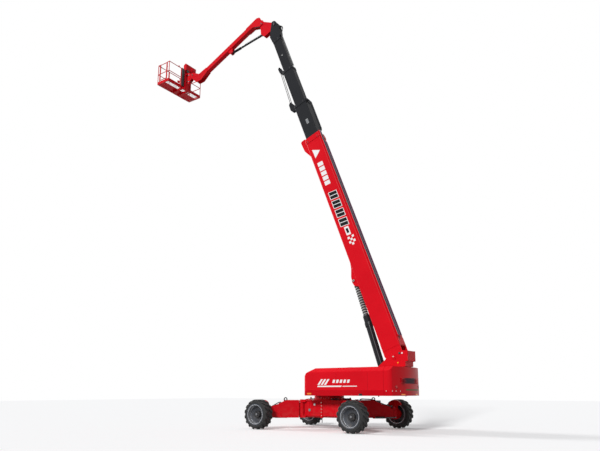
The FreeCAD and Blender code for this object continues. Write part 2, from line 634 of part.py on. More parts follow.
def base_boom():
    half, depth = BASE["width"] / 2, BASE["depth"] / 2
    start, end = BASE_ROOT, BASE["end"]
    tube = section(BASE, 50)
    root = [(-depth + 80, -130, 120), (-depth + 80, depth - 90, 190), (0, depth - 6, 200),
            (start + 300, depth - 6),
            (start + 300, -depth + 6), (120, -depth + 6, 150)]
    cheeks = both_sides(root, half - 36, half - 8)
    boss = [cyl(120, Vector(0, -CHEEK_IN + SEAT_GAP, 0), Y, 2 * (CHEEK_IN - SEAT_GAP)),
            box(start - 30, start, -half + 10, half - 10, -depth + 8, depth - 8)]
    lug = [(4540, -depth + 4), (4080, -470, 60), (3760, -600, 60), (3500, -640, 90), (3340, -600, 60),
           (3200, -depth + 4)]
    lugs = both_sides(lug, LIFT_LUG_IN, LIFT_LUG_IN + 40)
    bosses = [flip(cyl(75, Vector(LIFT_S, LIFT_LUG_IN + 38, -LIFT_N), Y, 25), 1, sy) for sy in (1, -1)]
    tray = box(700, end + 60, TRAY_Y - 80, TRAY_Y + 80, depth - 4, depth + 45)
    flare = [(end - 950, -depth + 6), (end - 500, -depth - 200, 80), (end + 10, -depth - 240, 60),
             (end + 60, -depth - 170),
             (end + 60, -depth + 6)]
    cheeks_2 = both_sides(flare, half - 60, half - 36)
    mouth = collar(BASE, end - 260, end - 120)
    body = fuse(tube, cheeks, boss, lugs, bosses, tray, cheeks_2, mouth, pads(BASE, FLY_1))
    body = body.cut(cyl(PIN_R + PIN_PLAY, Vector(0, -400, 0), Y, 800))
    parts["base_boom"] = moved(body, boom_frame)


def fly(size, inner, corner, lug, rope_pin, tail_of):
    """A telescoping section: tube, mouth band, wear pads, tail blocks and its belly lug."""
    tube = section(size, corner)
    band = collar(size, size["end"] - COLLAR_L, size["end"])
    start = size["end"] - size["length"]
    rests = []
    hold_y = tail_of["width"] / 2 - tail_of["wall"] - SEAT_GAP
    hold_z = tail_of["depth"] / 2 - tail_of["wall"] - SEAT_GAP
    for sy in (1, -1):
        for sz in (1, -1):
            y = sorted((sy * (size["width"] / 2 - 30), sy * (size["width"] / 2 - 30 - PAD_W)))
            z = sorted((sz * (size["depth"] / 2 - 2), sz * hold_z))
            rests.append(box(start, start + PAD_L, y[0], y[1], z[0], z[1]))
            z = sorted((sz * (size["depth"] / 2 - 60), sz * (size["depth"] / 2 - 60 - PAD_W)))
            y = sorted((sy * (size["width"] / 2 - 2), sy * hold_y))
            rests.append(box(start, start + PAD_L, y[0], y[1], z[0], z[1]))
    pieces = [tube, band] + rests
    if inner:
        pieces += pads(size, inner)
    if lug:
        pieces += both_sides(lug, 30, 75)
        pieces.append(cyl(ROPE_PIN_R, rope_pin - Y * 74, Y, 148))
    return fuse(pieces)


def flies():
    d1, d2 = FLY_1["depth"] / 2, FLY_2["depth"] / 2
    e1, e2 = FLY_1["end"], FLY_2["end"]
    lug_1 = [(e1 - 100, -d1 + 5), (e1 - 90, -d1 - 230, 60), (e1 + 60, -d1 - 300, 80),
             (e1 + 400, -d1 - 290, 120),
             (e1 + 480, -d1 - 160, 60), (e1 + 200, -d1 - 30, 60), (e1, -d1 - 10), (e1, -d1 + 5)]
    lug_2 = [(e2 - 100, -d2 + 5), (e2 - 60, -d2 - 60), (e2 + 160, -d2 - 210, 60), (e2 + 440, -d2 - 230, 60),
             (e2 + 500, -d2 - 120, 40), (e2 + 100, -d2 - 20), (e2, -d2 - 18), (e2, -d2 + 5)]
    parts["fly_1"] = moved(fly(FLY_1, FLY_2, 42, lug_1, ROPE_PIN_1, BASE), boom_frame)
    parts["fly_2"] = moved(fly(FLY_2, FLY_3, 36, lug_2, ROPE_PIN_2, FLY_1), boom_frame)
    parts["fly_3"] = moved(fly(FLY_3, None, 30, None, None, FLY_2), boom_frame)


def hose_guide():
    """The hose carrier that hangs back from the first fly's mouth."""
    end, back = FLY_1["end"], FLY_1["depth"] / 2 + COLLAR_T
    arm = [(end - COLLAR_L + 10, back), (end - 10, back), (end - 60, back + 100, 60),
           (end - 300, back + 186, 80),
           (end - 1860, back + 186, 30), (end - 1970, back + 150, 40), (end - 1990, back + 120),
           (end - 1930, back + 112),
           (end - 1850, back + 140), (end - 300, back + 140, 60), (end - 150, back + 80, 60)]
    ties = [box(end - x - 80, end - x, -26, 26, back + 143, back + 183) for x in (320, 1020, 1720)]
    carrier = fuse(both_sides(arm, 25, 60), ties)
    carrier.translate(Vector(0, TRAY_Y, 0))
    parts["hose_guide"] = moved(carrier, boom_frame)


def extension_rope():
    """Rope from the first fly's lug to the second fly's lug."""
    frame = between(ROPE_PIN_1, ROPE_PIN_2)
    start = ROPE_PIN_R + SEAT_GAP
    length = (ROPE_PIN_2 - ROPE_PIN_1).Length - 2 * start
    rope = [cyl(12, Vector(start, y, 0), X, length) for y in (-13, 13)]
    bar = box(start, start + length, -14, 14, -8, 8)
    parts["extension_rope"] = moved(moved(fuse(rope, bar), frame), boom_frame)


def back_rail():
    """Hose pipes along the back of the last fly, from the second fly's mouth to the nose."""
    start, end = FLY_2["end"] + SEAT_GAP, FLY_3["end"] + 28 - SEAT_GAP
    z = FLY_3["depth"] / 2 + 110
    rails = [cyl(16, Vector(start, y, z), X, end - start) for y in (RAIL_Y - 35, RAIL_Y + 35)]
    rails.append(box(start, end, RAIL_Y - 36, RAIL_Y + 36, z - 5, z + 5))
    parts["back_rail"] = moved(fuse(rails), boom_frame)


def nose():
    end = FLY_3["end"]
    outline = [(end + 20, -250), (end + 360, -290, 60), (end + 730, -130, 80), (end + 1150, 110, 90),
               (end + 1060, 280, 90), (end + 760, 375, 120), (end + 456, 350, 120), (end + 170, 285, 60),
               (end + 20, 250)]
    plates = both_sides(outline, NOSE_IN, NOSE_IN + NOSE_T)
    flange = box(end, end + 30, -FLY_3["width"] / 2 - 10, FLY_3["width"] / 2 + 10, -255, 255)
    belly = [(end + 20, -250), (end + 330, -284), (end + 330, -258), (end + 20, -224)]
    back = [(end + 20, 224), (end + 178, 259), (end + 450, 322), (end + 450, 348), (end + 168, 284),
            (end + 20, 250)]
    cross = [side_plate(belly, -NOSE_IN - 2, NOSE_IN + 2), side_plate(back, -NOSE_IN - 2, NOSE_IN + 2),
             box(end + 28, end + 60, RAIL_Y - 60, RAIL_Y + 60, FLY_3["depth"] / 2 + 10,
                 FLY_3["depth"] / 2 + 130)]
    at = Vector(NOSE_S, 0, -NOSE_N)
    bosses = [cyl(80, at + Y * (NOSE_IN + NOSE_T - 2), Y, 17),
              cyl(80, at - Y * (NOSE_IN + NOSE_T + 15), Y, 17)]
    body = fuse(plates, flange, cross, bosses)
    body = body.cut(cyl(NOSE_PIN_R + PIN_PLAY, at - Y * 300, Y, 600))
    parts["boom_nose"] = moved(body, boom_frame)


def lift_cylinder():
    top = on_boom(LIFT_S, LIFT_N)
    frame = between(LIFT_BASE, top)
    length = (top - LIFT_BASE).Length
    eye = 120.0
    barrel = revolve_x([(100, LIFT_BARREL_R - 20), (130, LIFT_BARREL_R), (2380, LIFT_BARREL_R),
                        (2400, LIFT_BARREL_R + 18), (2560, LIFT_BARREL_R + 18), (2580, LIFT_BARREL_R),
                        (LIFT_BARREL_L, LIFT_BARREL_R), (LIFT_BARREL_L, LIFT_ROD_R + SEAT_GAP),
                        (LIFT_BARREL_L - 120, LIFT_ROD_R + SEAT_GAP), (LIFT_BARREL_L - 120, LIFT_BORE_R),
                        (200, LIFT_BORE_R), (200, 0), (100, 0)])
    body = fuse(barrel, cyl(eye + 10, Vector(0, -120, 0), Y, 240), box(0, 140, -110, 110, -110, 110))
    body = body.cut(cyl(PIN_R + PIN_PLAY, Vector(0, -200, 0), Y, 400))
    parts["lift_barrel"] = moved(body, frame)
    start = LIFT_BARREL_L - LIFT_ROD_IN
    flange = length - BELLOWS_GAP
    rod = revolve_x([(start, 0), (start, LIFT_BORE_R - SEAT_GAP), (start + 120, LIFT_BORE_R - SEAT_GAP),
                     (start + 120, LIFT_ROD_R), (flange, LIFT_ROD_R), (flange, BELLOWS_R - 5),
                     (flange + 20, BELLOWS_R - 5), (flange + 20, LIFT_ROD_R), (length - 40, LIFT_ROD_R - 5),
                     (length - 40, 0)])
    body = fuse(rod, cyl(LIFT_EYE_R, Vector(length, -LIFT_LUG_IN + SEAT_GAP, 0), Y,
                         2 * (LIFT_LUG_IN - SEAT_GAP)))
    parts["lift_rod"] = moved(body, frame)
    lo, hi = LIFT_BARREL_L + SEAT_GAP, flange - SEAT_GAP
    pitch = (hi - lo) / BELLOWS_FOLDS
    outline = [(lo, BELLOWS_ROOT_R)]
    for i in range(BELLOWS_FOLDS):
        outline += [(lo + (i + 0.5) * pitch, BELLOWS_R), (lo + (i + 1) * pitch, BELLOWS_ROOT_R)]
    inside = LIFT_ROD_R + RUN_GAP
    parts["lift_bellows"] = moved(revolve_x(outline + [(hi, inside), (lo, inside)]), frame)


# ---- upright, jib and its cylinder
def upright():
    u, j, k = NOSE_PIN, JIB_PIN, JIB_CYL_PIN
    outline = [(u.x - 75, u.z + 10, 60), (u.x + 110, u.z + 150, 80), (j.x - 70, j.z + 100, 60),
               (j.x + 95, j.z + 20, 80),
               (k.x + 80, k.z, 70), (k.x - 140, k.z - 220, 40), (k.x - 330, k.z - 150, 60),
               (u.x + 150, u.z - 230, 80),
               (u.x - 60, u.z - 75, 50)]
    plates = both_sides(outline, UPRIGHT_IN, UPRIGHT_IN + UPRIGHT_T)
    web = box(k.x - 360, k.x - 330, -UPRIGHT_IN - 2, UPRIGHT_IN + 2, k.z - 130, j.z - 90)
    inner = UPRIGHT_IN + UPRIGHT_T
    pins = [cyl(NOSE_PIN_R, Vector(u.x, -NOSE_IN - NOSE_T - 25, u.z), Y, 2 * (NOSE_IN + NOSE_T + 25)),
            cyl(NOSE_PIN_R, Vector(j.x, -155, j.z), Y, 310),
            cyl(25, Vector(k.x, -inner - 12, k.z), Y, 2 * (inner + 12))]
    rings = [cyl(75, Vector(u.x, sy * inner if sy > 0 else -inner - 9.7, u.z), Y, 9.7) for sy in (1, -1)]
    parts["upright"] = fuse(plates, web, pins, rings)


def jib():
    tube = rect_tube(JIB_START, JIB_END, JIB_W / 2, JIB_LOW, JIB_HIGH, JIB_WALL, 28)
    half = JIB_W / 2
    root = [(-100, -60, 80), (-60, 430, 120), (120, JIB_HIGH + 8, 90), (900, JIB_HIGH - 4),
            (900, JIB_LOW + 4),
            (520, JIB_LOW - 15, 120), (120, -80, 80)]
    cheeks = both_sides(root, half - 2, half + JIB_PLATE_T)
    end = [(4000, JIB_HIGH - 4), (4000, JIB_LOW + 4), (4560, 110, 60), (4900, 230, 90), (5165, 860, 70),
           (5080, 1030, 70),
           (4900, 990, 90), (4560, 560, 120)]
    tips = both_sides(end, half - 2, half + JIB_PLATE_T)
    lug = [(2080, JIB_LOW + 3), (2160, -10, 50), (2320, -10, 50), (2420, JIB_LOW + 3)]
    lugs = both_sides(lug, JIB_LUG_IN, JIB_LUG_IN + 25)
    bosses, m = [], Vector(JIB_LUG_U, 0, JIB_LUG_M)
    for sy in (1, -1):
        bosses += [flip(cyl(90, Vector(0, UPRIGHT_IN + UPRIGHT_T + SEAT_GAP, 0), Y, 15), 1, sy),
                   flip(cyl(40, m + Y * (JIB_LUG_IN + 23), Y, 14), 1, sy)]
    web = [box(JIB_END - 20, JIB_END, -half + 2, half - 2, JIB_LOW + 2, JIB_HIGH - 2),
           box(JIB_START, JIB_START + 20, -half + 2, half - 2, JIB_LOW + 2, JIB_HIGH - 2)]
    body = fuse(tube, cheeks, tips, lugs, bosses, web)
    body = body.cut(cyl(NOSE_PIN_R + PIN_PLAY, Vector(0, -300, 0), Y, 600))
    body = body.cut(cyl(NOSE_PIN_R + PIN_PLAY, Vector(LEVEL_U, -300, LEVEL_M), Y, 600))
    parts["jib"] = moved(body, jib_frame)


def jib_cylinder():
    far = on_jib(JIB_LUG_U, JIB_LUG_M)
    frame = between(JIB_CYL_PIN, far)
    length = (far - JIB_CYL_PIN).Length
    barrel = revolve_x([(60, JIB_BARREL_R), (JIB_BARREL_L - 60, JIB_BARREL_R),
                        (JIB_BARREL_L - 60, JIB_BARREL_R + 6),
                        (JIB_BARREL_L, JIB_BARREL_R + 6), (JIB_BARREL_L, JIB_ROD_R + SEAT_GAP),
                        (JIB_BARREL_L - 80, JIB_ROD_R + SEAT_GAP), (JIB_BARREL_L - 80, JIB_BORE_R),
                        (110, JIB_BORE_R), (110, 0), (60, 0)])
    body = fuse(barrel, cyl(60, Vector(0, -UPRIGHT_IN + SEAT_GAP, 0), Y, 2 * (UPRIGHT_IN - SEAT_GAP)),
                box(0, 80, -40, 40, -40, 40))
    parts["jib_barrel"] = moved(body.cut(cyl(25 + PIN_PLAY, Vector(0, -100, 0), Y, 200)), frame)
    start = JIB_BARREL_L - JIB_ROD_IN
    rod = revolve_x([(start, 0), (start, JIB_BORE_R - SEAT_GAP), (start + 60, JIB_BORE_R - SEAT_GAP),
                     (start + 60, JIB_ROD_R), (length - 20, JIB_ROD_R), (length - 20, 0)])
    tube, wall = JIB_GUARD_R, JIB_GUARD_T
    guard = revolve_x([(length - 610, tube), (length - 120, tube), (length - 100, tube - 20),
                       (length - 100, 20),
                       (length - 115, 20), (length - 115, tube - wall), (length - 610, tube - wall)])
    eye = JIB_LUG_IN - SEAT_GAP
    parts["jib_rod"] = moved(fuse(rod, guard, cyl(45, Vector(length, -eye, 0), Y, 2 * eye)), frame)


# ---- platform
def level_bracket():
    n = LEVEL_PIN
    inner = JIB_W / 2 - 2 - SEAT_GAP
    arm = [(n.x - 95, n.z - 40, 70), (n.x - 60, n.z + 90, 60), (n.x + 250, n.z + 150, 40), (ROT_X, n.z + 150),
           (ROT_X, n.z - 330), (n.x + 260, n.z - 300, 60), (n.x + 60, n.z - 140, 60)]
    plates = both_sides(arm, 70, 95)
    shapes = [cyl(ROT_R, Vector(ROT_X, 0, ROT_Z0), Z, ROT_Z1 - ROT_Z0),
              cyl(80, Vector(n.x, -inner, n.z), Y, 2 * inner),
              cyl(NOSE_PIN_R, Vector(n.x, -165, n.z), Y, 330),
              box(n.x + 120, ROT_X - 60, -72, 72, n.z - 60, n.z + 60)]
    body = fuse(plates, shapes)
    parts["level_bracket"] = body.cut(cyl(30 + PIN_PLAY, Vector(ROT_X, 0, ROT_Z0 - 10), Z, 1000))


def tube_run(points, r=TUBE_R, swell=1.0):
    """Straight tubes through points, with a slightly larger ball for each welded elbow."""
    pieces = []
    for a, b in zip(points, points[1:]):
        a, b = Vector(*a), Vector(*b)
        pieces.append(cyl(r, a, (b - a).normalize(), (b - a).Length))
    for p in points[1:-1]:
        pieces.append(Part.makeSphere(r + swell, Vector(*p)))
    return pieces


def platform_frame():
    """Rails, posts, toe boards and floor beams, from the platform's near lower edge."""
    x0, x1, y = TUBE_R, PLAT_DEPTH - TUBE_R, PLAT_Y - TUBE_R
    g0, g1 = GATE_IN - GATE_POST, GATE_IN + GATE_W + GATE_POST
    shapes = []
    for z in (RAIL_H, MID_H):
        shapes += tube_run([(g0, y, z), (x0, y, z), (x0, -y, z), (x1, -y, z), (x1, y, z), (g1, y, z)])
    post_xy = [(g0, y), (g1, y), (x0, y), (x1, y), (x0, -y), (x1, -y), (x0, -300), (x1, -400), (x0, 300),
               (x1, 400)]
    for px, py in post_xy:
        shapes.append(cyl(TUBE_R, Vector(px, py, 30), Z, RAIL_H - 30))
    fx0, fx1, fy = TOE_IN, PLAT_DEPTH - TOE_IN, PLAT_Y - TOE_IN
    shapes += [box(fx0, fx0 + TOE_T, -fy, fy, 0, TOE_H), box(fx1 - TOE_T, fx1, -fy, fy, 0, TOE_H),
               box(fx0, fx1, -fy, -fy + TOE_T, 0, TOE_H), box(fx0, fx1, fy - TOE_T, fy, 0, TOE_H)]
    for px in (fx0, fx1 - BEAM):
        shapes.append(box(px, px + BEAM, -fy, fy, 0, BEAM))
    for py in (-fy, -220, 180, fy - BEAM):
        shapes.append(box(fx0, fx1, py, py + BEAM, 0, BEAM))
    for py in (-ANCHOR_Y, ANCHOR_Y):
        shapes.append(pipe(26, ANCHOR_HOLE_R, Vector(x1 - ANCHOR_IN, py - ANCHOR_T / 2, MID_H), Y, ANCHOR_T))
    return fuse(shapes)


def gate():
    y, stile = PLAT_Y - TUBE_R, TOE_H + 40
    ends = GATE_IN + TUBE_R, GATE_IN + GATE_W - TUBE_R
    pieces = [cyl(TUBE_R, Vector(px, y, stile), Z, RAIL_H - stile) for px in ends]
    for z in (RAIL_H - TUBE_R, MID_H, TOE_H + 60):
        pieces.append(cyl(TUBE_R, Vector(ends[0], y, z), X, ends[1] - ends[0]))
    post = GATE_IN - GATE_POST
    for z in (350, MID_H + 250):
        pieces += [cyl(TUBE_R + 9, Vector(post, y, z), Z, 70),
                   box(post, GATE_IN + 5, y - 8, y + 8, z, z + 70)]
    return fuse(pieces).cut(cyl(TUBE_R + PIN_PLAY, Vector(post, y, 0), Z, RAIL_H))


def platform():
    corner = Vector(PLAT_X0, 0, PLAT_Z)
    edge = 2 * TUBE_R + 2
    floor = box(edge, PLAT_DEPTH - edge, -PLAT_Y + edge, PLAT_Y - edge, BEAM, BEAM + FLOOR_T)
    foot = RAIL_H + TUBE_R + SEAT_GAP
    desk = [(-90, foot), (-90, foot + 360, 30), (0, foot + 410, 40), (130, foot + 320, 40), (130, foot)]
    pieces = dict(platform_frame=platform_frame(), platform_floor=floor, gate=gate(),
                  console=side_plate(desk, -700, 50))
    for name, shape in pieces.items():
        shape.translate(corner)
        parts[name] = shape
    beam = ROT_X + 210
    low, high, near = PLAT_Z - 80, ROT_Z1 + 45, PLAT_X0 - SEAT_GAP
    column = [box(ROT_X, near, -100, 100, ROT_Z1 + RUN_GAP, high),
              cyl(100, Vector(ROT_X, 0, ROT_Z1 + RUN_GAP), Z, 40),
              cyl(30, Vector(ROT_X, 0, ROT_Z0 - 30), Z, ROT_Z1 - ROT_Z0 + 50),
              cyl(85, Vector(ROT_X, 0, ROT_Z0 - 30), Z, 30 - SEAT_GAP),
              cyl(60, Vector(ROT_X, 0, ROT_Z1 + SEAT_GAP), Z, RUN_GAP),
              box(beam, near, -100, 100, low, high), box(beam, beam + 60, -230, 230, low, PLAT_Z)]
    for y in (-230, 170):
        column.append(box(beam, PLAT_X1 - 200, y, y + 60, low, PLAT_Z))
    top = PLAT_Z + RAIL_H - 10
    column.append(box(near - TOE_T, near, PANEL_Y0, PANEL_Y1, PLAT_Z - 5, top))
    for y in (PANEL_Y0, PANEL_Y0 + 220, PANEL_Y1 - BEAM):
        column.append(box(near - BEAM, near, y, y + BEAM, PLAT_Z - 5, top))
    for z in (PLAT_Z - 5, PLAT_Z + MID_H, top - BEAM):
        column.append(box(near - BEAM, near, PANEL_Y0, PANEL_Y1, z, z + BEAM))
    parts["platform_support"] = fuse(column)


os.makedirs("parts", exist_ok=True)
undercarriage()
chassis()
turntable()
counterweight()
base_boom()
flies()
hose_guide()
extension_rope()
back_rail()
nose()
lift_cylinder()
upright()
jib()
jib_cylinder()
level_bracket()
platform()
for name, shape in parts.items():
    solids = len(shape.Solids)
    print(f"{name:24s} solids {solids} valid {shape.isValid()} volume {shape.Volume / 1e9:.4f} m3")
    shape.exportStep(f"parts/{name}.step")
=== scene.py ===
"""Finish, fittings, light and camera for the telescopic boom lift.

Metres, +X the way the boom points, +Y to the machine's left, +Z up.
"""
import json
import math

import bmesh
import bpy
from mathutils import Matrix, Vector
from mathutils.bvhtree import BVHTree


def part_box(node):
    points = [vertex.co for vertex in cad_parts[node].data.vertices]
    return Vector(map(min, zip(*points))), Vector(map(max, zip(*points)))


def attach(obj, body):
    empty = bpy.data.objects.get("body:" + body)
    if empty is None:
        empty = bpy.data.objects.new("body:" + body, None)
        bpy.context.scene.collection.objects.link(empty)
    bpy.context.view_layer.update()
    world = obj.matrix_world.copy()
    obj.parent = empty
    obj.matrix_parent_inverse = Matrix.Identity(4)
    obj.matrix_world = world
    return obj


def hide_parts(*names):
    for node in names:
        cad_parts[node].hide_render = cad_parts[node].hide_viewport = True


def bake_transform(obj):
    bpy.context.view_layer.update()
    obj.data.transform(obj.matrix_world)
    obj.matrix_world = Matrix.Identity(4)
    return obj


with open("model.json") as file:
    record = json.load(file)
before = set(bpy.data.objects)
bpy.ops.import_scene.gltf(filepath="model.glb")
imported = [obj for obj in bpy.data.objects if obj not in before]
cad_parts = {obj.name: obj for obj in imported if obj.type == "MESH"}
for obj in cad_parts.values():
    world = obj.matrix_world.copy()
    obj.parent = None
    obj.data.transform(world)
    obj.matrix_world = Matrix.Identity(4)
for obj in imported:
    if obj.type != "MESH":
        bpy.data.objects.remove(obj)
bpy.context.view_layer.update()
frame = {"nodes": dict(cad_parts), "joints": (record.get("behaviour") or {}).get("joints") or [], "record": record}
NODES = frame["nodes"]
JOINTS = {joint["name"]: joint for joint in frame["joints"]}
MOUNTS = {mount["name"]: mount for mount in frame["record"]["mounts"]}
CORNERS = ("front_left", "front_right", "rear_left", "rear_right")
SIDES = (("left", 1), ("right", -1))
X, Y, Z = Vector((1, 0, 0)), Vector((0, 1, 0)), Vector((0, 0, 1))
QUARTER = math.pi / 2


# ---- places
def pin(joint):
    """Where a joint's axis lies at rest."""
    return Vector(JOINTS[joint]["pos_m"])


def along(joint):
    return Vector(JOINTS[joint]["axis"]).normalized()


def at(x, y, z):
    return Matrix.Translation((x, y, z))


def turned(axis, angle=QUARTER):
    return Matrix.Rotation(angle, 4, axis)


def axes(origin, x, y):
    """A frame at a point, from its X direction and roughly its Y direction."""
    x = x.normalized()
    z = x.cross(y).normalized()
    place = Matrix((x, z.cross(x), z)).transposed().to_4x4()
    place.translation = origin
    return place


def facing(origin, normal, x=None):
    """A frame at a point with Z along a normal."""
    normal = normal.normalized()
    x = x or (Z if abs(normal.z) < 0.9 else X)
    y = normal.cross(x).normalized()
    place = Matrix((y.cross(normal), y, normal)).transposed().to_4x4()
    place.translation = origin
    return place


def points_of(node, place):
    """A node's vertices in another frame."""
    inverse = place.inverted()
    return [inverse @ v.co for v in NODES[node].data.vertices]


def span(node, place):
    """Lowest and highest corner of a node in another frame."""
    points = points_of(node, place)
    return [Vector([pick(p[i] for p in points) for i in range(3)]) for pick in (min, max)]


def touch(node, start, toward, out=0.0):
    """Where a line first meets a node's surface, as a frame with Z out of the surface."""
    data = NODES[node].data
    skin = BVHTree.FromPolygons([v.co for v in data.vertices], [p.vertices for p in data.polygons])
    hit, normal, _, _ = skin.ray_cast(start, toward)
    if normal.dot(toward) > 0:
        normal = -normal
    return facing(hit + normal * out, normal)


# The machine's own frames: boom (X along it, -Z its belly), jib and the two large cylinders.
BOOM = axes(pin("boom_luff"), along("telescope"), Y)
LIFT = axes(pin("lift_barrel_pivot"), along("lift_rod_slide"), Y)
JIB_CYLINDER = axes(pin("jib_barrel_pivot"), along("jib_rod_slide"), Y)
JIB_TILT = math.radians(24.5)
JIB = axes(pin("jib_luff"), Vector((math.cos(JIB_TILT), 0, -math.sin(JIB_TILT))), Y)

# ---- colours
RED = (0.65, 0.004, 0.012)
CHARCOAL = (0.019, 0.020, 0.023)
SLATE = (0.055, 0.063, 0.080)
HUB = (0.10, 0.10, 0.11)
PAINTED_LIP_HIGHLIGHT = (0.70, 0.71, 0.73)
BLACK = (0.010, 0.010, 0.011)
RUBBER = (0.019, 0.019, 0.019)
OUTER_TREAD_GREY = (0.036, 0.037, 0.038)
DUST = (0.26, 0.22, 0.19)
RIM_REACH, RIM_LIP_R = 0.5, 0.3617
RIM_HIGHLIGHT_RING = (RIM_LIP_R / RIM_REACH - 0.008, RIM_LIP_R / RIM_REACH + 0.018)    # the pale ring of painted highlight on the bare wall inside the lip, in parts of the reach


# ---- node trees
class Tree:
    """A node tree under construction."""

    def __init__(self, tree):
        self.tree = tree

    def feed(self, node, inputs):
        """Inputs of a node linked to outputs or set to constants."""
        for socket, value in dict(inputs).items():
            if isinstance(value, bpy.types.NodeSocket):
                self.tree.links.new(value, node.inputs[socket])
            else:
                node.inputs[socket].default_value = value

    def node(self, kind, inputs=(), **settings):
        node = self.tree.nodes.new(kind)
        for key, value in settings.items():
            setattr(node, key, value)
        self.feed(node, inputs)
        return node

    def add(self, kind, inputs=(), **settings):
        """The first output of a new node."""
        return self.node(kind, inputs, **settings).outputs[0]

    def sum(self, operation, a, b):
        return self.add("ShaderNodeMath", {0: a, 1: b}, operation=operation)

    def seen_directly(self):
        """1 where the eye looks, straight or by a glint or through glass; 0 for the light that bounces."""
        rays = self.node("ShaderNodeLightPath").outputs
        share = rays["Is Camera Ray"]
        for ray in ("Is Transmission Ray", "Is Glossy Ray"):
            share = self.sum("MAXIMUM", share, rays[ray])
        return share


def tint(colour, factor):
    return tuple(min(1.0, channel * factor) for channel in colour)


class Finish(Tree):
    """A material under construction: its Principled shader and the patterns that drive it."""

    def __init__(self, name, colour, roughness, metallic=0.0, **sockets):
        self.material = bpy.data.materials.new(name)
        self.material.use_nodes = True
        super().__init__(self.material.node_tree)
        self.shader = self.tree.nodes["Principled BSDF"]
        self.set(Base_Color=(*colour, 1), Roughness=roughness, Metallic=metallic, **sockets)
        self.place = self.node("ShaderNodeTexCoord").outputs["Object"]

    def set(self, **sockets):
        self.feed(self.shader, {label.replace("_", " "): value for label, value in sockets.items()})

    def mapped(self, stretch=(1, 1, 1), centre=(0, 0, 0)):
        """Object coordinates, centred or stretched."""
        return self.add("ShaderNodeMapping", {"Location": centre, "Scale": stretch, "Vector": self.place})

    def from_axle(self, centre):
        """Distance from a wheel's axle."""
        flat = self.mapped((1, 0, 1), (-centre.x, 0, -centre.z))
        return self.node("ShaderNodeVectorMath", {0: flat}, operation="LENGTH").outputs["Value"]

    def noise(self, scale, detail, stretch=(1, 1, 1)):
        return self.add("ShaderNodeTexNoise", {"Scale": scale, "Detail": detail, "Vector": self.mapped(stretch)})

    def cells(self, scale):
        return self.add("ShaderNodeTexVoronoi", {"Scale": scale, "Vector": self.place})

    def ramp(self, value, stops, sharp=False):
        """A value looked up between (position, grey or colour) stops."""
        node = self.node("ShaderNodeValToRGB", {"Fac": value})
        if sharp:
            node.color_ramp.interpolation = "CONSTANT"
        elements = node.color_ramp.elements
        while len(elements) < len(stops):
            elements.new(0.5)
        for element, (position, colour) in zip(elements, stops):
            element.position = position
            element.color = (*colour, 1) if isinstance(colour, tuple) else (colour, colour, colour, 1)
        return node.outputs[0]

    def clouded(self, value, colour, dark, light, low=0.3, high=0.7):
        """A colour that drifts with a value between two tints of it."""
        return self.ramp(value, [(low, tint(colour, dark)), (high, tint(colour, light))])

    def spread(self, value, from_low, from_high, to_low=0.0, to_high=1.0):
        return self.add("ShaderNodeMapRange", {"Value": value, "From Min": from_low, "From Max": from_high,
                                               "To Min": to_low, "To Max": to_high})

    def mix(self, share, a, b, blend="MIX"):
        """Two colours blended by a share."""
        pair = {socket: (*value, 1) if isinstance(value, tuple) else value for socket, value in ((6, a), (7, b))}
        return self.node("ShaderNodeMix", {"Factor": share, **pair}, data_type="RGBA", blend_type=blend).outputs[2]

    def rough(self, value, low, high):
        self.set(Roughness=self.spread(value, 0.25, 0.75, low, high))

    def bump(self, height, strength, distance):
        self.set(Normal=self.add("ShaderNodeBump", {"Strength": strength, "Distance": distance, "Height": height}))

    def dusty(self, colour, amount):
        """Road dust that gathers low on the machine."""
        height = self.node("ShaderNodeSeparateXYZ", {"Vector": self.place}).outputs["Z"]
        grit = self.ramp(self.noise(7.0, 6.0), [(0.42, 0.0), (0.74, 1.0)])
        share = self.sum("MULTIPLY", self.spread(height, 1.15, 0.25), grit)
        return self.mix(self.sum("MULTIPLY", share, amount), colour, DUST)


# ---- finishes
def enamel(name, colour, gloss=0.32, shine=0.08):
    """Sprayed enamel: a faint orange peel and clouded gloss, with dust low down."""
    finish = Finish(name, colour, gloss, Specular_IOR_Level=shine)
    clouds = finish.noise(0.9, 4.0)
    finish.rough(clouds, gloss - 0.05, gloss + 0.08)
    finish.set(Base_Color=finish.dusty(finish.clouded(clouds, colour, 0.93, 1.05), 0.18))
    finish.bump(finish.noise(240.0, 1.0), 0.06, 0.0008)
    return finish.material


def tyre_rubber(name, centre):
    """Moulded rubber: dust in the pores, and paler on the outer tread surface."""
    finish = Finish(name, RUBBER, 0.72, Specular_IOR_Level=0.35)
    cloud = finish.noise(18.0, 6.0)
    # Paler towards the outer tread surface.
    outer_tread = finish.spread(finish.from_axle(centre), 0.545, 0.575)
    share = finish.sum("MULTIPLY", outer_tread, finish.ramp(cloud, [(0.35, 0.25), (0.7, 0.9)]))
    finish.set(Base_Color=finish.mix(share, finish.clouded(cloud, RUBBER, 0.75, 1.6, high=0.75), OUTER_TREAD_GREY))
    finish.bump(finish.noise(420.0, 2.0), 0.25, 0.001)
    return finish.material


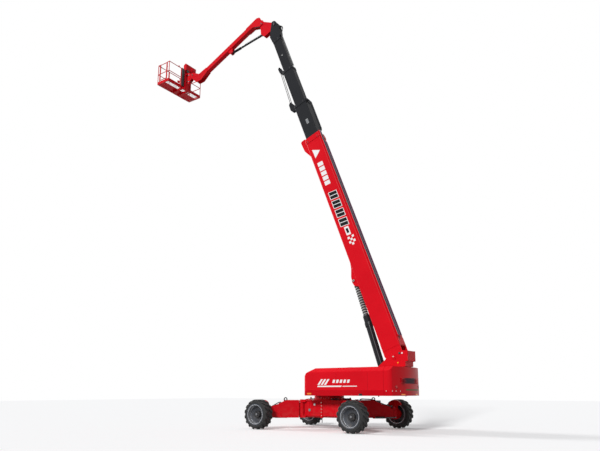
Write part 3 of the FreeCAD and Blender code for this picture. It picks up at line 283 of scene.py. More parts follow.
def wheel_enamel(name, centre):
    """Slate rim in rings round the axle: dark hub, dish, a bare metal wall inside the lip painted pale as a highlight,
    a dull face.
    """
    finish = Finish(name, SLATE, 0.42, Specular_IOR_Level=0.3)
    reach = finish.spread(finish.from_axle(centre), 0.0, RIM_REACH)
    inner, outer = RIM_HIGHLIGHT_RING
    # The pale ring inside the lip is painted highlight on a bare, part-metallic wall.
    rings = finish.ramp(reach, [(0.0, HUB), (0.108, BLACK), (0.268, tint(SLATE, 0.6)), (0.62, SLATE),
                                (inner, PAINTED_LIP_HIGHLIGHT), (outer, tint(SLATE, 1.2))], sharp=True)
    stain = finish.ramp(finish.noise(9.0, 5.0), [(0.35, 0.72), (0.65, 1.0)])
    finish.set(Base_Color=finish.dusty(finish.mix(1.0, rings, stain, "MULTIPLY"), 0.25),
               Metallic=finish.ramp(reach, [(0.0, 0.0), (inner, 0.7), (outer, 0.0)], sharp=True))
    finish.rough(finish.noise(30.0, 4.0), 0.34, 0.52)
    finish.bump(finish.noise(180.0, 1.0), 0.05, 0.001)
    return finish.material


def metal(name, colour, roughness, stretch=(1, 1, 1)):
    """Machined or plated metal with drawn scratches and stained gloss."""
    finish = Finish(name, colour, roughness, metallic=1.0)
    finish.rough(finish.noise(14.0, 5.0), roughness - 0.08, roughness + 0.14)
    finish.set(Base_Color=finish.clouded(finish.noise(5.0, 4.0), colour, 0.8, 1.0))
    finish.bump(finish.noise(300.0, 2.0, stretch), 0.08, 0.0005)
    return finish.material


def moulded(name, colour, roughness, grain=500.0):
    """Moulded plastic or rubber with a fine leathery grain."""
    finish = Finish(name, colour, roughness)
    finish.rough(finish.noise(12.0, 4.0), roughness - 0.07, roughness + 0.1)
    finish.set(Base_Color=finish.clouded(finish.noise(4.0, 4.0), colour, 0.85, 1.15))
    finish.bump(finish.noise(grain, 2.0), 0.15, 0.0006)
    return finish.material


def hose_cover(name, colour):
    """Braided hose cover: a fine bump of small cells."""
    finish = Finish(name, colour, 0.5)
    finish.set(Base_Color=finish.clouded(finish.noise(8.0, 3.0), colour, 0.8, 1.3))
    finish.bump(finish.cells(300.0), 0.3, 0.0008)
    return finish.material


def lens(name, colour, painted_glow):
    """A reflector or lamp lens: moulded prisms under a clear face. Its prism cells are painted paler and darker as
    glints, and it glows faintly as painted light.
    """
    finish = Finish(name, colour, 0.22, Emission_Strength=painted_glow, Emission_Color=(*colour, 1))
    prisms = finish.cells(130.0)
    # Paler and darker prism cells: painted glints.
    finish.set(Base_Color=finish.clouded(prisms, colour, 1.15, 0.7, 0.0, 0.8))
    finish.bump(prisms, 0.4, 0.002)
    return finish.material


red = enamel("red_enamel", RED)
charcoal = enamel("charcoal_enamel", CHARCOAL, gloss=0.45, shine=0.06)
# Dark red for the hood seams: painted shade in the panel gaps.
red_shadow = enamel("red_joint", (0.20, 0.003, 0.006), gloss=0.5)
film_white = enamel("white_film", (0.84, 0.84, 0.84), gloss=0.35)
film_black = enamel("black_film", BLACK, gloss=0.40)
olive_film = enamel("olive_film", (0.14, 0.12, 0.03), gloss=0.4)
plate_grey = enamel("plate_grey", (0.24, 0.25, 0.26), gloss=0.4)
louvre_grey = enamel("louvre_grey", (0.060, 0.048, 0.062), gloss=0.5)
# The tray cover's purple-grey is partly its own grey and partly painted shade of the boom's back.
tray_grey = enamel("tray_grey", (0.15, 0.075, 0.16), gloss=0.5)
# Dark purple painted shade for the boom's red back where it lies in shadow.
back_purple = enamel("back_purple", (0.10, 0.010, 0.060), gloss=0.5)
pale_line = enamel("pale_line", (0.42, 0.44, 0.43), gloss=0.5)
rope_grey = enamel("rope_grey", (0.10, 0.10, 0.105), gloss=0.5)
bright = metal("bright_steel", (0.50, 0.51, 0.53), 0.28)
zinc = metal("zinc_plate", (0.60, 0.59, 0.55), 0.38)
dark_steel = metal("oiled_steel", (0.10, 0.10, 0.105), 0.42)
chrome = metal("chrome_rod", (0.72, 0.73, 0.75), 0.12, (1, 1, 20))
cast = metal("cast_iron", (0.12, 0.12, 0.125), 0.6)
galvanised = metal("galvanised_mesh", (0.52, 0.53, 0.54), 0.45)
black_plastic = moulded("black_plastic", BLACK, 0.5)
bellows_rubber = moulded("bellows_rubber", RUBBER, 0.6, 260.0)
red_plastic = moulded("red_plastic", (0.62, 0.01, 0.012), 0.35)
yellow_plastic = moulded("yellow_plastic", (0.85, 0.52, 0.01), 0.4)
green_plastic = moulded("green_plastic", (0.02, 0.30, 0.05), 0.4)
hose_black = hose_cover("hose_black", (0.014, 0.014, 0.015))
hose_grey = hose_cover("hose_grey", (0.22, 0.22, 0.23))
# The amber reflectors glow faintly: painted light, since they are no lamps.
amber = lens("amber_lens", (0.95, 0.20, 0.01), 0.25)

FINISH_OF = {"red_paint": red, "charcoal_paint": charcoal, "dark_steel": dark_steel, "rope_steel": rope_grey,
             "bellows_rubber": bellows_rubber, "floor_steel": galvanised, "cast_grey": cast}


def coat(mesh, finish):
    mesh.materials.clear()
    mesh.materials.append(finish)


def dress_nodes():
    """Every solid of the frame gets the finish of its slot."""
    for subpart in frame["record"]["subparts"]:
        coat(NODES[subpart["node"]].data, FINISH_OF.get(subpart["material_slot"], red))
    for corner in CORNERS:
        rim = wheel_enamel("wheel_enamel_" + corner, pin("wheel_spin_" + corner))
        coat(NODES["rim_" + corner].data, rim)
    coat(NODES["lift_rod"].data, chrome)
    coat(NODES["jib_rod"].data, charcoal)


# ---- mesh helpers
def thing(name, data):
    """A new object in the scene."""
    piece = bpy.data.objects.new(name, data)
    bpy.context.scene.collection.objects.link(piece)
    return piece


def baked(holder):
    """The plain mesh that an object comes to; the object itself goes."""
    mesh = bpy.data.meshes.new_from_object(holder.evaluated_get(bpy.context.evaluated_depsgraph_get()))
    bpy.data.objects.remove(holder)
    return mesh


def settle(name, mesh, finish, body, place=Matrix(), smooth=35.0):
    """A finished piece, from a mesh or a list to join. It rides on a body, or on none if two share it."""
    mesh = join(*mesh) if isinstance(mesh, list) else mesh
    mesh.transform(place)
    coat(mesh, finish)
    piece = thing(name, mesh)
    if smooth:
        for face in mesh.polygons:
            face.use_smooth = True
        mesh.set_sharp_from_angle(angle=math.radians(smooth))
    if body:
        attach(piece, body)
    return piece


def mesh_of(work):
    """A plain mesh from a bmesh, its doubles merged and its faces turned outwards."""
    bmesh.ops.remove_doubles(work, verts=work.verts, dist=1e-6)
    bmesh.ops.recalc_face_normals(work, faces=work.faces)
    return plain(work)


def plain(work):
    mesh = bpy.data.meshes.new("shape")
    work.to_mesh(mesh)
    work.free()
    return mesh


def join(*meshes):
    """Several meshes, or (mesh, place) pairs, as one."""
    work = bmesh.new()
    for item in meshes:
        mesh, place = item if isinstance(item, tuple) else (item, Matrix())
        copy = mesh.copy()
        copy.transform(place)
        work.from_mesh(copy)
        bpy.data.meshes.remove(copy)
    return plain(work)


def bevelled(work, edges, offset, segments=2):
    bmesh.ops.bevel(work, geom=edges, offset=offset, segments=segments, affect="EDGES", profile=0.5)
    return mesh_of(work)


def block(low, high, bevel=0.003, segments=2):
    """A box between two corners with its edges rounded."""
    work = bmesh.new()
    bmesh.ops.create_cube(work, size=1.0)
    for v in work.verts:
        v.co = [a + (c + 0.5) * (b - a) for a, b, c in zip(low, high, v.co)]
    return bevelled(work, work.edges[:], bevel, segments) if bevel else mesh_of(work)


def plate(outline, low, high):
    """A flat outline in X and Y raised from low to high."""
    work = bmesh.new()
    foot, top = ([work.verts.new((x, y, z)) for x, y in outline] for z in (low, high))
    work.faces.new(foot)
    work.faces.new(top)
    for i in range(len(outline)):
        work.faces.new((foot[i - 1], foot[i], top[i], top[i - 1]))
    return mesh_of(work)


def polar(radius, angle):
    return radius * math.cos(angle), radius * math.sin(angle)


def lathe(outline, sides=32, closed=False):
    """An outline of (height, radius) points turned about Z."""
    work = bmesh.new()
    rings = []
    for height, radius in outline:
        if radius < 1e-7:
            rings.append([work.verts.new((0, 0, height))] * sides)
        else:
            rings.append([work.verts.new((*polar(radius, 2 * math.pi * i / sides), height)) for i in range(sides)])
    for a, b in zip(rings, rings[1:] + (rings[:1] if closed else [])):
        for i in range(sides):
            corners = dict.fromkeys((a[i], a[(i + 1) % sides], b[(i + 1) % sides], b[i]))
            if len(corners) > 2:
                work.faces.new(list(corners))
    return mesh_of(work)


def tube(low, high, inner, outer, sides):
    """A plain ring about Z."""
    return lathe([(low, inner), (low, outer), (high, outer), (high, inner)], sides, closed=True)


def disc(radius, thickness, rim=0.003, sides=32):
    """A turned disc standing on z = 0 with a rounded upper rim."""
    outline = [(0, 0), (0, radius)]
    for i in range(4):
        inward, up = polar(rim, QUARTER * i / 3)
        outline.append((thickness - rim + up, radius - rim + inward))
    return lathe(outline + [(thickness, 0)], sides)


def rounded(width, height, radius):
    """A rectangle's outline about the origin with round corners."""
    points = []
    for cx, cy, first in ((1, 1, 0), (-1, 1, 1), (-1, -1, 2), (1, -1, 3)):
        for i in range(6):
            x, y = polar(radius, QUARTER * (first + i / 5))
            points.append((cx * (width / 2 - radius) + x, cy * (height / 2 - radius) + y))
    return points


def hose(points, radius, resolution=8):
    """A round hose on a smooth line through the region of its control points."""
    data = bpy.data.curves.new("line", "CURVE")
    data.dimensions = "3D"
    data.resolution_u = resolution
    data.bevel_depth = radius
    data.bevel_resolution = 2
    data.use_fill_caps = True
    spline = data.splines.new("NURBS")
    spline.points.add(len(points) - 1)
    for point, place in zip(spline.points, points):
        point.co = (*place, 1)
    spline.order_u = min(4, len(points))
    spline.use_endpoint_u = True
    return baked(thing("line", data))


def rod(start, end, radius, sides=20):
    """A straight round bar between two points with eased ends."""
    start, end = Vector(start), Vector(end)
    length, ease = (end - start).length, 0.002
    mesh = lathe([(0, 0), (0, radius - ease), (ease, radius), (length - ease, radius), (length, radius - ease),
                  (length, 0)], sides)
    mesh.transform(facing(start, end - start))
    return mesh


def keeper(radius, thickness, half_x, half_y, high, angle=0.0, low=0.0):
    """A pin's end disc and the bar that keeps it."""
    bar = block((-half_x, -half_y, low), (half_x, half_y, high))
    return join(disc(radius, thickness), (bar, turned("Z", angle)))


# ---- Geometry Nodes: what repeats
class Grower(Tree):
    """A Geometry Nodes tree under construction, with named inputs."""

    def __init__(self, name, **inputs):
        super().__init__(bpy.data.node_groups.new(name, "GeometryNodeTree"))
        for label, value in inputs.items():
            self.socket(label.replace("_", " "), "Int" if isinstance(value, int) else "Float").default_value = value
        self.socket("Finish", "Material")
        self.socket("Shape", "Object")
        self.socket("Result", "Geometry", "OUTPUT")
        self.inputs = self.tree.nodes.new("NodeGroupInput").outputs

    def socket(self, label, kind, way="INPUT"):
        return self.tree.interface.new_socket(label, in_out=way, socket_type="NodeSocket" + kind)

    def shape(self):
        return self.node("GeometryNodeObjectInfo", {"Object": self.inputs["Shape"]}).outputs["Geometry"]

    def copies(self, points, shape, **inputs):
        return self.add("GeometryNodeInstanceOnPoints", {"Points": points, "Instance": shape, **inputs})

    def fan(self, points, shape, count):
        """A copy on each point, turned on by its share of a full turn."""
        turn = self.sum("MULTIPLY", self.add("GeometryNodeInputIndex"), self.sum("DIVIDE", 2 * math.pi, count))
        return self.copies(points, shape, Rotation=self.add("ShaderNodeCombineXYZ", {"Z": turn}))

    def line(self, axis, count, pitch):
        """Points along an axis, centred on the origin."""
        length = self.sum("MULTIPLY", self.sum("SUBTRACT", count, 1.0), pitch)
        start = self.add("ShaderNodeCombineXYZ", {axis: self.sum("MULTIPLY", length, -0.5)})
        step = self.add("ShaderNodeCombineXYZ", {axis: pitch})
        return self.add("GeometryNodeMeshLine", {"Count": count, "Start Location": start, "Offset": step})

    def close(self, instances):
        """Instances made real, given their finish and sent out."""
        real = self.add("GeometryNodeRealizeInstances", {"Geometry": instances})
        done = self.add("GeometryNodeSetMaterial", {"Geometry": real, "Material": self.inputs["Finish"]})
        self.feed(self.tree.nodes.new("NodeGroupOutput"), {0: done})
        return self.tree


def ring_tree():
    """Copies of a shape, evenly spaced round Z and turned outwards."""
    grow = Grower("ring_of_parts", Count=8, Radius=0.1, First=0.0)
    count = grow.inputs["Count"]
    circle = grow.add("GeometryNodeMeshCircle", {"Vertices": count, "Radius": grow.inputs["Radius"]})
    whole = grow.add("ShaderNodeCombineXYZ", {"Z": grow.inputs["First"]})
    copies = grow.fan(circle, grow.shape(), count)
    return grow.close(grow.add("GeometryNodeTransform", {"Geometry": copies, "Rotation": whole}))


def row_tree():
    """Copies of a shape in rows and columns, centred on the origin."""
    grow = Grower("rows_of_parts", Columns=2, Rows=1, Pitch_X=0.1, Pitch_Y=0.1)
    row = grow.copies(grow.line("X", grow.inputs["Columns"], grow.inputs["Pitch X"]), grow.shape())
    return grow.close(grow.copies(grow.line("Y", grow.inputs["Rows"], grow.inputs["Pitch Y"]), row))


def twist_tree():
    """Strands of a rope laid round a straight core along Z."""
    grow = Grower("rope_strands", Strands=6, Length=1.0, Lay=0.12, Core_Radius=0.008, Strand_Radius=0.005)
    length, core = grow.inputs["Length"], grow.inputs["Core Radius"]
    helix = grow.add("GeometryNodeCurveSpiral", {
        "Resolution": 10, "Rotations": grow.sum("DIVIDE", length, grow.inputs["Lay"]), "Start Radius": core,
        "End Radius": core, "Height": length})
    section = grow.add("GeometryNodeCurvePrimitiveCircle", {"Resolution": 6, "Radius": grow.inputs["Strand Radius"]})
    strand = grow.add("GeometryNodeCurveToMesh", {"Curve": helix, "Profile Curve": section, "Fill Caps": True})
    strands = grow.inputs["Strands"]
    points = grow.add("GeometryNodeMeshLine", {"Count": strands, "Offset": (0, 0, 0)})
    return grow.close(grow.fan(points, strand, strands))


RING, ROWS, TWIST = ring_tree(), row_tree(), twist_tree()


def grown(tree, finish, shape=None, **sizes):
    """The plain mesh that a tree makes."""
    model = thing("model", shape) if shape else None
    holder = thing("grown", bpy.data.meshes.new("grown"))
    modifier = holder.modifiers.new("grow", "NODES")
    modifier.node_group = tree
    values = {label.replace("_", " "): value for label, value in sizes.items()}
    values.update({"Finish": finish, "Shape": model})
    for socket in tree.interface.items_tree:
        if socket.in_out == "INPUT" and values.get(socket.name) is not None:
            modifier[socket.identifier] = values[socket.name]
    bpy.context.view_layer.update()
    mesh = baked(holder)
    if model:
        bpy.data.objects.remove(model)
    return mesh


def in_rows(finish, shape, columns, rows, pitch_x, pitch_y=0.1):
    return grown(ROWS, finish, shape, Columns=columns, Rows=rows, Pitch_X=pitch_x, Pitch_Y=pitch_y)


def bolt(size):
    """A hexagon head on its washer, standing on z = 0; size is across its flats."""
    head = lathe([(0, 0), (0, size * 0.57), (size * 0.5, size * 0.57), (size * 0.58, size * 0.46),
                  (size * 0.58, 0)], 6)
    washer = lathe([(0, 0), (0, size), (size * 0.13, size), (size * 0.13, 0)], 14)
    return join(washer, (head, at(0, 0, size * 0.12)))


def bolt_ring(name, body, place, radius, count, size, finish=zinc):
    settle(name, grown(RING, finish, bolt(size), Count=count, Radius=radius), finish, body, place)


def bolt_rows(name, body, place, columns, rows, pitch_x, pitch_y, size, finish=zinc):
    settle(name, in_rows(finish, bolt(size), columns, rows, pitch_x, pitch_y), finish, body, place)


# ---- wheels: axle along Z here, outboard side up
TYRE_LOW, TYRE_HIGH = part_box("tyre_front_left")
TYRE_R = (TYRE_HIGH.z - TYRE_LOW.z) / 2
TYRE_HALF = (TYRE_HIGH.y - TYRE_LOW.y) / 2
BORE_R, LIP_R, CARCASS_R = 0.3785, 0.412, 0.538
LUGS = 16
LUG_SPAN = 0.212    # from the shoulder towards the middle
LUG_HALF, LUG_GROWTH, LUG_FOOT = 0.044, 0.012, 0.010    # half its width, how much wider it ends, its flared foot
SHOULDER, SHOULDER_FALL = 0.12, 0.28    # the share of a lug that slopes down, and how steeply
LUG_SLOPE = math.tan(math.radians(38.0))


def carcass():
    """A solid tyre's body: bead, moulded sidewall rings, shoulders and the floor between the lugs."""
    half = [(0.017, BORE_R), (0.017, LIP_R - 0.002), (0.006, LIP_R + 0.010)]
    for ring in range(3):
        radius = LIP_R + 0.024 + ring * 0.022
        half += [(0.004, radius), (0, radius + 0.004), (0, radius + 0.010), (0.004, radius + 0.014)]
    half += [(0.010, 0.500), (0.022, 0.522), (0.040, CARCASS_R - 0.004), (0.07, CARCASS_R)]
    outline = [(TYRE_HALF - inset, radius) for inset, radius in half]
    return lathe(outline + [(-height, radius) for height, radius in reversed(outline)], 96, closed=True)


def lug(side):
    """One tread bar, bent where it turns down the shoulder."""
    work = bmesh.new()
    rows = []
    for share in (i / 7 for i in range(8)):
        shift = (share - 0.5) * LUG_SPAN * LUG_SLOPE * -side
        top = TYRE_R - 0.001 - max(0.0, SHOULDER - share) * SHOULDER_FALL
        half, foot = LUG_HALF + LUG_GROWTH * share, CARCASS_R - 0.012
        section = ((-half - LUG_FOOT, foot), (-half, top), (half, top), (half + LUG_FOOT, foot))
        rows.append([work.verts.new((*polar(radius, (shift + across) / TYRE_R), TYRE_HALF - 0.004 - share * LUG_SPAN))
                     for across, radius in section])
    for a, b in zip(rows, rows[1:]):
        for i in range(4):
            j = (i + 1) % 4
            work.faces.new((a[i], a[j], b[j], b[i]))
    work.faces.new(rows[0])
    work.faces.new(rows[-1][::-1])
    bmesh.ops.recalc_face_normals(work, faces=work.faces)
    long_edges = [e for e in work.edges if all(v.co.xy.length > CARCASS_R + 0.005 for v in e.verts)
                  and abs(e.verts[0].co.z - e.verts[1].co.z) > 0.005]
    return bevelled(work, long_edges, 0.006, 1)


def tyre_mesh(finish):
    bars = []
    for side in (1, -1):
        bar = lug(side)
        if side < 0:
            bar.transform(Matrix.Scale(-1, 4, Z))
            bar.flip_normals()
        bars.append(grown(RING, finish, bar, Count=LUGS, Radius=0.0, First=side * math.pi / (2 * LUGS)))
    return join(carcass(), *bars)


def wheels():
    for corner in CORNERS:
        body, axle = "wheel_" + corner, pin("wheel_spin_" + corner)
        place = facing(axle, Y * (1 if corner.endswith("left") else -1), Z)
        rubber = tyre_rubber("tyre_rubber_" + corner, axle)
        tyre = settle("tyre_tread_" + corner, tyre_mesh(rubber), rubber, body, place, smooth=28)
        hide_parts("tyre_" + corner)
        bolt_ring("wheel_nuts_" + corner, body, place @ at(0, 0, 0.001), 0.178, 12, 0.026, dark_steel)
        bolt_ring("hub_bolts_" + corner, body, place @ at(0, 0, 0.100), 0.088, 8, 0.020, dark_steel)
        plug = lathe([(0.130, 0.0), (0.130, 0.030), (0.137, 0.036), (0.141, 0.030), (0.142, 0.0)], 24)
        valve = rod((0.330, 0, 0.05), (0.330, 0, 0.08), 0.006, 8)
        settle("hub_plug_" + corner, [plug, valve], plate_grey, body, place)


# ---- legs, knuckles and chassis
WALL_Y = 0.54    # the side plate of the chassis box


def leg_fittings(corner):
    """Hoses, valve, welds, the steering cylinder's sleeve and the hinge's cap.

    X runs out along the leg, Y to its left as seen from the hinge, Z up from the ground.
    """
    hinge, king = pin("leg_swing_" + corner), pin("steer_" + corner)
    out = Vector((king.x - hinge.x, king.y - hinge.y, 0))
    place, length, body = axes((hinge.x, hinge.y, 0), out, Z.cross(out)), out.length, "leg_" + corner
    if corner.startswith("rear"):
        lines = [hose([(0.13, y * 0.5, 1.135), (0.17, y * 0.9, 1.165), (0.26, y, 1.160), (0.50, y, 1.150),
                       (0.60, y, 1.146), (0.68, y, 1.118), (0.90, y * 0.9, 1.030), (0.98, y * 0.9, 0.995),
                       (1.08, y * 0.8, 0.952), (length - 0.19, y * 0.7, 0.880), (length - 0.16, y * 0.7, 0.845)],
                      0.020, 10) for y in (-0.078, -0.028, 0.028, 0.078)]
        valve = block((0.78, -0.10, 1.030), (0.95, 0.10, 1.105), 0.008)
    else:
        lines = [hose([(0.90, y, 1.015), (0.94, y, 1.035), (1.00, y, 1.000), (1.08, y, 0.955), (1.16, y, 0.912),
                       (1.22, y, 0.880)], 0.018, 10) for y in (-0.05, 0.0, 0.05)]
        valve = block((0.86, -0.08, 0.995), (0.93, 0.08, 1.050), 0.008)
    settle("leg_hoses_" + corner, lines, hose_black, body, place)
    settle("leg_valve_" + corner, valve, dark_steel, body, place)
    settle("leg_welds_" + corner, [rod((0.15, y, 0.435), (0.75, y, 0.435), 0.005, 8) for y in (0.171, -0.171)],
           red, body, place)
    low, high = span("steer_rod_" + corner, place)
    y = low.y + 0.038 if abs(low.y) > abs(high.y) else high.y - 0.038
    settle("steer_sleeve_" + corner, tube(0.0, 0.40, 0.0385, 0.041, 24), black_plastic, body,
           place @ at(0.67, y, (low.z + high.z) / 2) @ turned("Y"))
    cap = at(hinge.x, hinge.y, 1.125)
    settle("hinge_cap_" + corner, keeper(0.085, 0.014, 0.02, 0.11, 0.012, 0.8), red, "chassis", cap)
    bolt_ring("hinge_cap_bolts_" + corner, "chassis", cap @ at(0, 0, 0.013), 0.055, 4, 0.018, red)


def knuckle_guard(corner):
    """Arched hood over the kingpin, standing on the knuckle's top between the pin and the tyre."""
    king, body = pin("steer_" + corner), "knuckle_" + corner
    side = 1 if pin("wheel_spin_" + corner).y > 0 else -1
    top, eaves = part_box(body)[1].z, 0.90
    rise = [polar(1.0, math.pi * i / 12) for i in range(13)]
    arch = [(0.27 * y, 0.925 + 0.205 * z) for y, z in rise]
    inner = [(0.27 * y * 0.95, 0.925 + 0.205 * z * 0.94) for y, z in reversed(rise)]
    stand = Matrix(((0, 0, 1, 0), (1, 0, 0, 0), (0, 1, 0, 0), (0, 0, 0, 1)))
    back = plate([(-0.11, top - 0.15), (0.11, top - 0.15), (0.11, eaves)] + arch + [(-0.11, eaves)], 0.146, 0.156)
    flange = plate(arch + inner, 0.075, 0.150)
    web = plate([(-0.012, top - 0.02), (0.012, top - 0.02), (0.012, 1.11), (-0.012, 1.11)], 0.075, 0.150)
    settle("knuckle_guard_" + corner, [(back, stand), (flange, stand), (web, stand)], red, body,
           axes((king.x, king.y, 0), Y * side, X * -side))
    bolt_ring("kingpin_bolts_" + corner, body, at(king.x, king.y, top - 0.0005), 0.040, 4, 0.016, dark_steel)


def undercarriage():
    for corner in CORNERS:
        leg_fittings(corner)
        knuckle_guard(corner)
        eye = MOUNTS["tie_down_" + corner]
        settle("eye_face_" + corner, tube(-0.0145, 0.0145, 0.0385, 0.0755, 32), film_black, "leg_" + corner,
               facing(eye["pos_m"], Vector(eye["axis"]), Z))
    for name, side in SIDES:
        wall = facing((0.03, side * WALL_Y, 0.775), Y * side, X)
        settle("side_flange_" + name, plate(rounded(0.09, 0.60, 0.01), -0.019, 0.012), red, "chassis", wall)
        foot = block((-0.03, side * WALL_Y - 0.05, 0.440), (0.09, side * WALL_Y + 0.012, 0.478), 0.006)
        settle("side_foot_" + name, foot, red, "chassis")
        bolt_rows("side_flange_bolts_" + name, "chassis", wall @ at(0, 0, 0.012), 1, 5, 0.1, 0.125, 0.018)
        for end, x in (("_rear", -0.32), ("_front", 0.34)):
            cover = facing((x, side * (WALL_Y - 0.018), 0.785), Y * side, X)
            settle("side_cover_" + name + end, plate(rounded(0.46, 0.36, 0.03), 0.0, 0.008), red, "chassis", cover)
            bolt_rows("side_cover_bolts_" + name + end, "chassis", cover @ at(0, 0, 0.008), 4, 2, 0.13, 0.31, 0.014,
                      red)
        for label, x, y, z, radius, finish in ((363, 0.363, 0.527, 0.948, 0.045, film_white),
                                               (606, 0.606, 0.529, 0.73, 0.055, plate_grey)):
            settle(f"side_cap_{name}_{label}", disc(radius, 0.018), finish, "chassis",
                   facing((x, side * y, z), Y * side, X))
        hoops = [hose([(x * 0.8, side * 0.50, 1.11), (x * 0.8, side * 0.50, 1.16), (x * 1.12, side * 0.47, 1.185),
                       (x * 1.35, side * 0.44, 1.165), (x * 1.4, side * 0.42, 1.11)], 0.016)
                 for x in (-0.55, -0.45, -0.38, 0.45)]
        settle("deck_hoses_" + name, hoops, hose_black, "chassis")
    bolt_ring("slew_bolts", "chassis", at(0, 0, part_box("slew_ring")[0].z + 0.0345), 0.612, 36, 0.016)
    strap = plate([(-0.02, -0.10), (0.02, -0.10), (0.016, 0.12), (-0.016, 0.12)], -0.002, 0.002)
    settle("ground_strap", strap, hose_grey, "chassis", at(0.03, 0.50, 0.345) @ turned("X"))
    settle("strap_clamp", block((0.0, 0.47, 0.43), (0.06, 0.53, 0.452), 0.004), dark_steel, "chassis")


# ---- turntable and hoods
HOOD_LOW, (_, HOOD_Y, HOOD_TOP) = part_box("hood_left")[0].z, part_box("hood_left")[1]
TAIL_R = -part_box("counterweight")[0].x
DECK_Z = 1.345    # the turntable's base plate


def tail_place(bearing, z, out=0.0):
    """On the round tail: bearing in degrees from straight back, positive to the machine's left."""
    normal = Vector((*polar(1.0, math.radians(180 - bearing)), 0))
    return touch("counterweight", normal * 4.5 + Z * z, -normal, out)


def reflector(name, body, place, width, height):
    base = plate(rounded(height + 0.012, width + 0.012, 0.012), -0.004, 0.004)
    settle(name + "_base", base, black_plastic, body, place)
    settle(name, plate(rounded(height, width, 0.010), 0.003, 0.012), amber, body, place)


def slant(start, low, high, lean, width):
    """A parallelogram that reaches back from its start and leans back with height."""
    return [(start, low), (start - lean, high), (start - lean - width, high), (start - width, low)]


def film(name, body, place, side, outlines, finish, low=0.0002, high=0.0012):
    """Plain shapes laid on a panel, between two heights over it."""
    low, high = (-high, -low) if side > 0 else (low, high)
    settle(name, [plate(outline, low, high) for outline in outlines], finish, body, place, smooth=0)


def hoods():
    """Reflector, latch, knob, plain stripes that lean back, seams painted dark as shade, crease and vent of each hood.
    """
    for name, side in SIDES:
        body = "hood_" + name
        front, back = (touch(body, Vector((x, side * 2.0, z)), Y * -side) for x, z in ((0.16, 1.375), (-2.12, 1.345)))
        reflector("reflector_" + name, body, front, 0.20, 0.060)
        cup = [plate(rounded(0.075, 0.14, 0.012), -0.002, 0.006),
               block((-0.02, -0.05, 0.004), (0.02, 0.05, 0.013), 0.004)]
        settle("hood_latch_" + name, cup, black_plastic, body, back)
        settle(f"hood_latch_{name}_key", disc(0.011, 0.018, 0.002, 16), bright, body, back @ at(0, 0.055, 0))
        settle("hood_knob_" + name, [disc(0.020, 0.03), (disc(0.028, 0.012), at(0, 0, 0.02))], black_plastic, body,
               facing((-2.85, side * (HOOD_Y - 0.09), HOOD_LOW + 0.002), -Z))
        stripes = [slant(-0.24, 1.625, 1.675, 0.03, 1.08), slant(-1.38, 1.635, 1.665, 0.012, 0.62)]
        stripes += [slant(-0.25 - i * 0.15, 1.705, 1.92, 0.17, 0.09) for i in range(3)]
        stripes += [slant(-0.93 - i * 0.16, 1.775, 1.895, 0.04, 0.10) for i in range(5)]
        film("hood_stripes_" + name, body, at(0, side * HOOD_Y, 0) @ turned("X"), side, stripes, film_white)
        y = side * HOOD_Y
        # Thin dark strips down the panel gaps: painted shade, since the gaps are not cut.
        seams = [block((x - 0.003, y - 0.0008, 1.505), (x + 0.003, y + 0.0006, 2.14), 0.0005, 1)
                 for x in (-1.10, -2.45)]
        settle("hood_seams_" + name, seams, red_shadow, body)
        settle("hood_crease_" + name, rod((-3.07, y, 1.500), (0.20, y, 1.500), 0.005, 10), red, body)
        slats = in_rows(red, block((-0.19, -0.006, 0.0), (0.19, 0.006, 0.010), 0.003), 1, 9, 0.1, 0.024)
        settle("hood_vent_" + name, [slats, plate(rounded(0.42, 0.25, 0.02), 0.0, 0.004)], red, body,
               at(-1.55, side * 0.78, HOOD_TOP) @ turned("Z"))


def tail():
    """Reflectors, screws, lamps, the olive line and dark louvres over the tail's mouth."""
    spot = [disc(0.018, 0.008, 0.003, 20), disc(0.010, 0.012, 0.003, 20)]
    for name, side in SIDES:
        reflector("tail_reflector_" + name, "turntable", tail_place(side * 9.3, DECK_Z), 0.24, 0.050)
        for i, bearing in enumerate((12.0, 15.8, 18.9, 21.2)):
            settle(f"tail_bolt_{name}_{i}", spot, zinc, "turntable", tail_place(side * bearing, 1.472, -0.001))
        lamp = tail_place(side * 15.5, 1.62, -0.001)
        settle("tail_lamp_body_" + name, disc(0.052, 0.016, 0.006), black_plastic, "turntable", lamp)
        settle("tail_lamp_" + name, lathe([(0.014, 0.044), (0.022, 0.040), (0.027, 0.020), (0.028, 0.0)], 32),
               red_plastic, "turntable", lamp)
    work = bmesh.new()
    rows = [[work.verts.new(tail_place(bearing, z, 0.0014).translation) for z in (1.487, 1.543)]
            for bearing in range(-16, 8, 2)]
    for low, high in zip(rows, rows[1:]):
        work.faces.new((low[0], low[1], high[1], high[0]))
    settle("tail_line", mesh_of(work), olive_film, "turntable")
    turns = [math.radians(180 + bearing) for bearing in range(-11, 12, 2)]
    band = [polar(TAIL_R + 0.002, turn) for turn in turns] + [polar(TAIL_R - 0.030, turn) for turn in turns[::-1]]
    slats = [plate(band, z, z + 0.014) for z in (1.745 + 0.0228 * i for i in range(9))]
    settle("tail_louvres", slats, louvre_grey, "turntable")


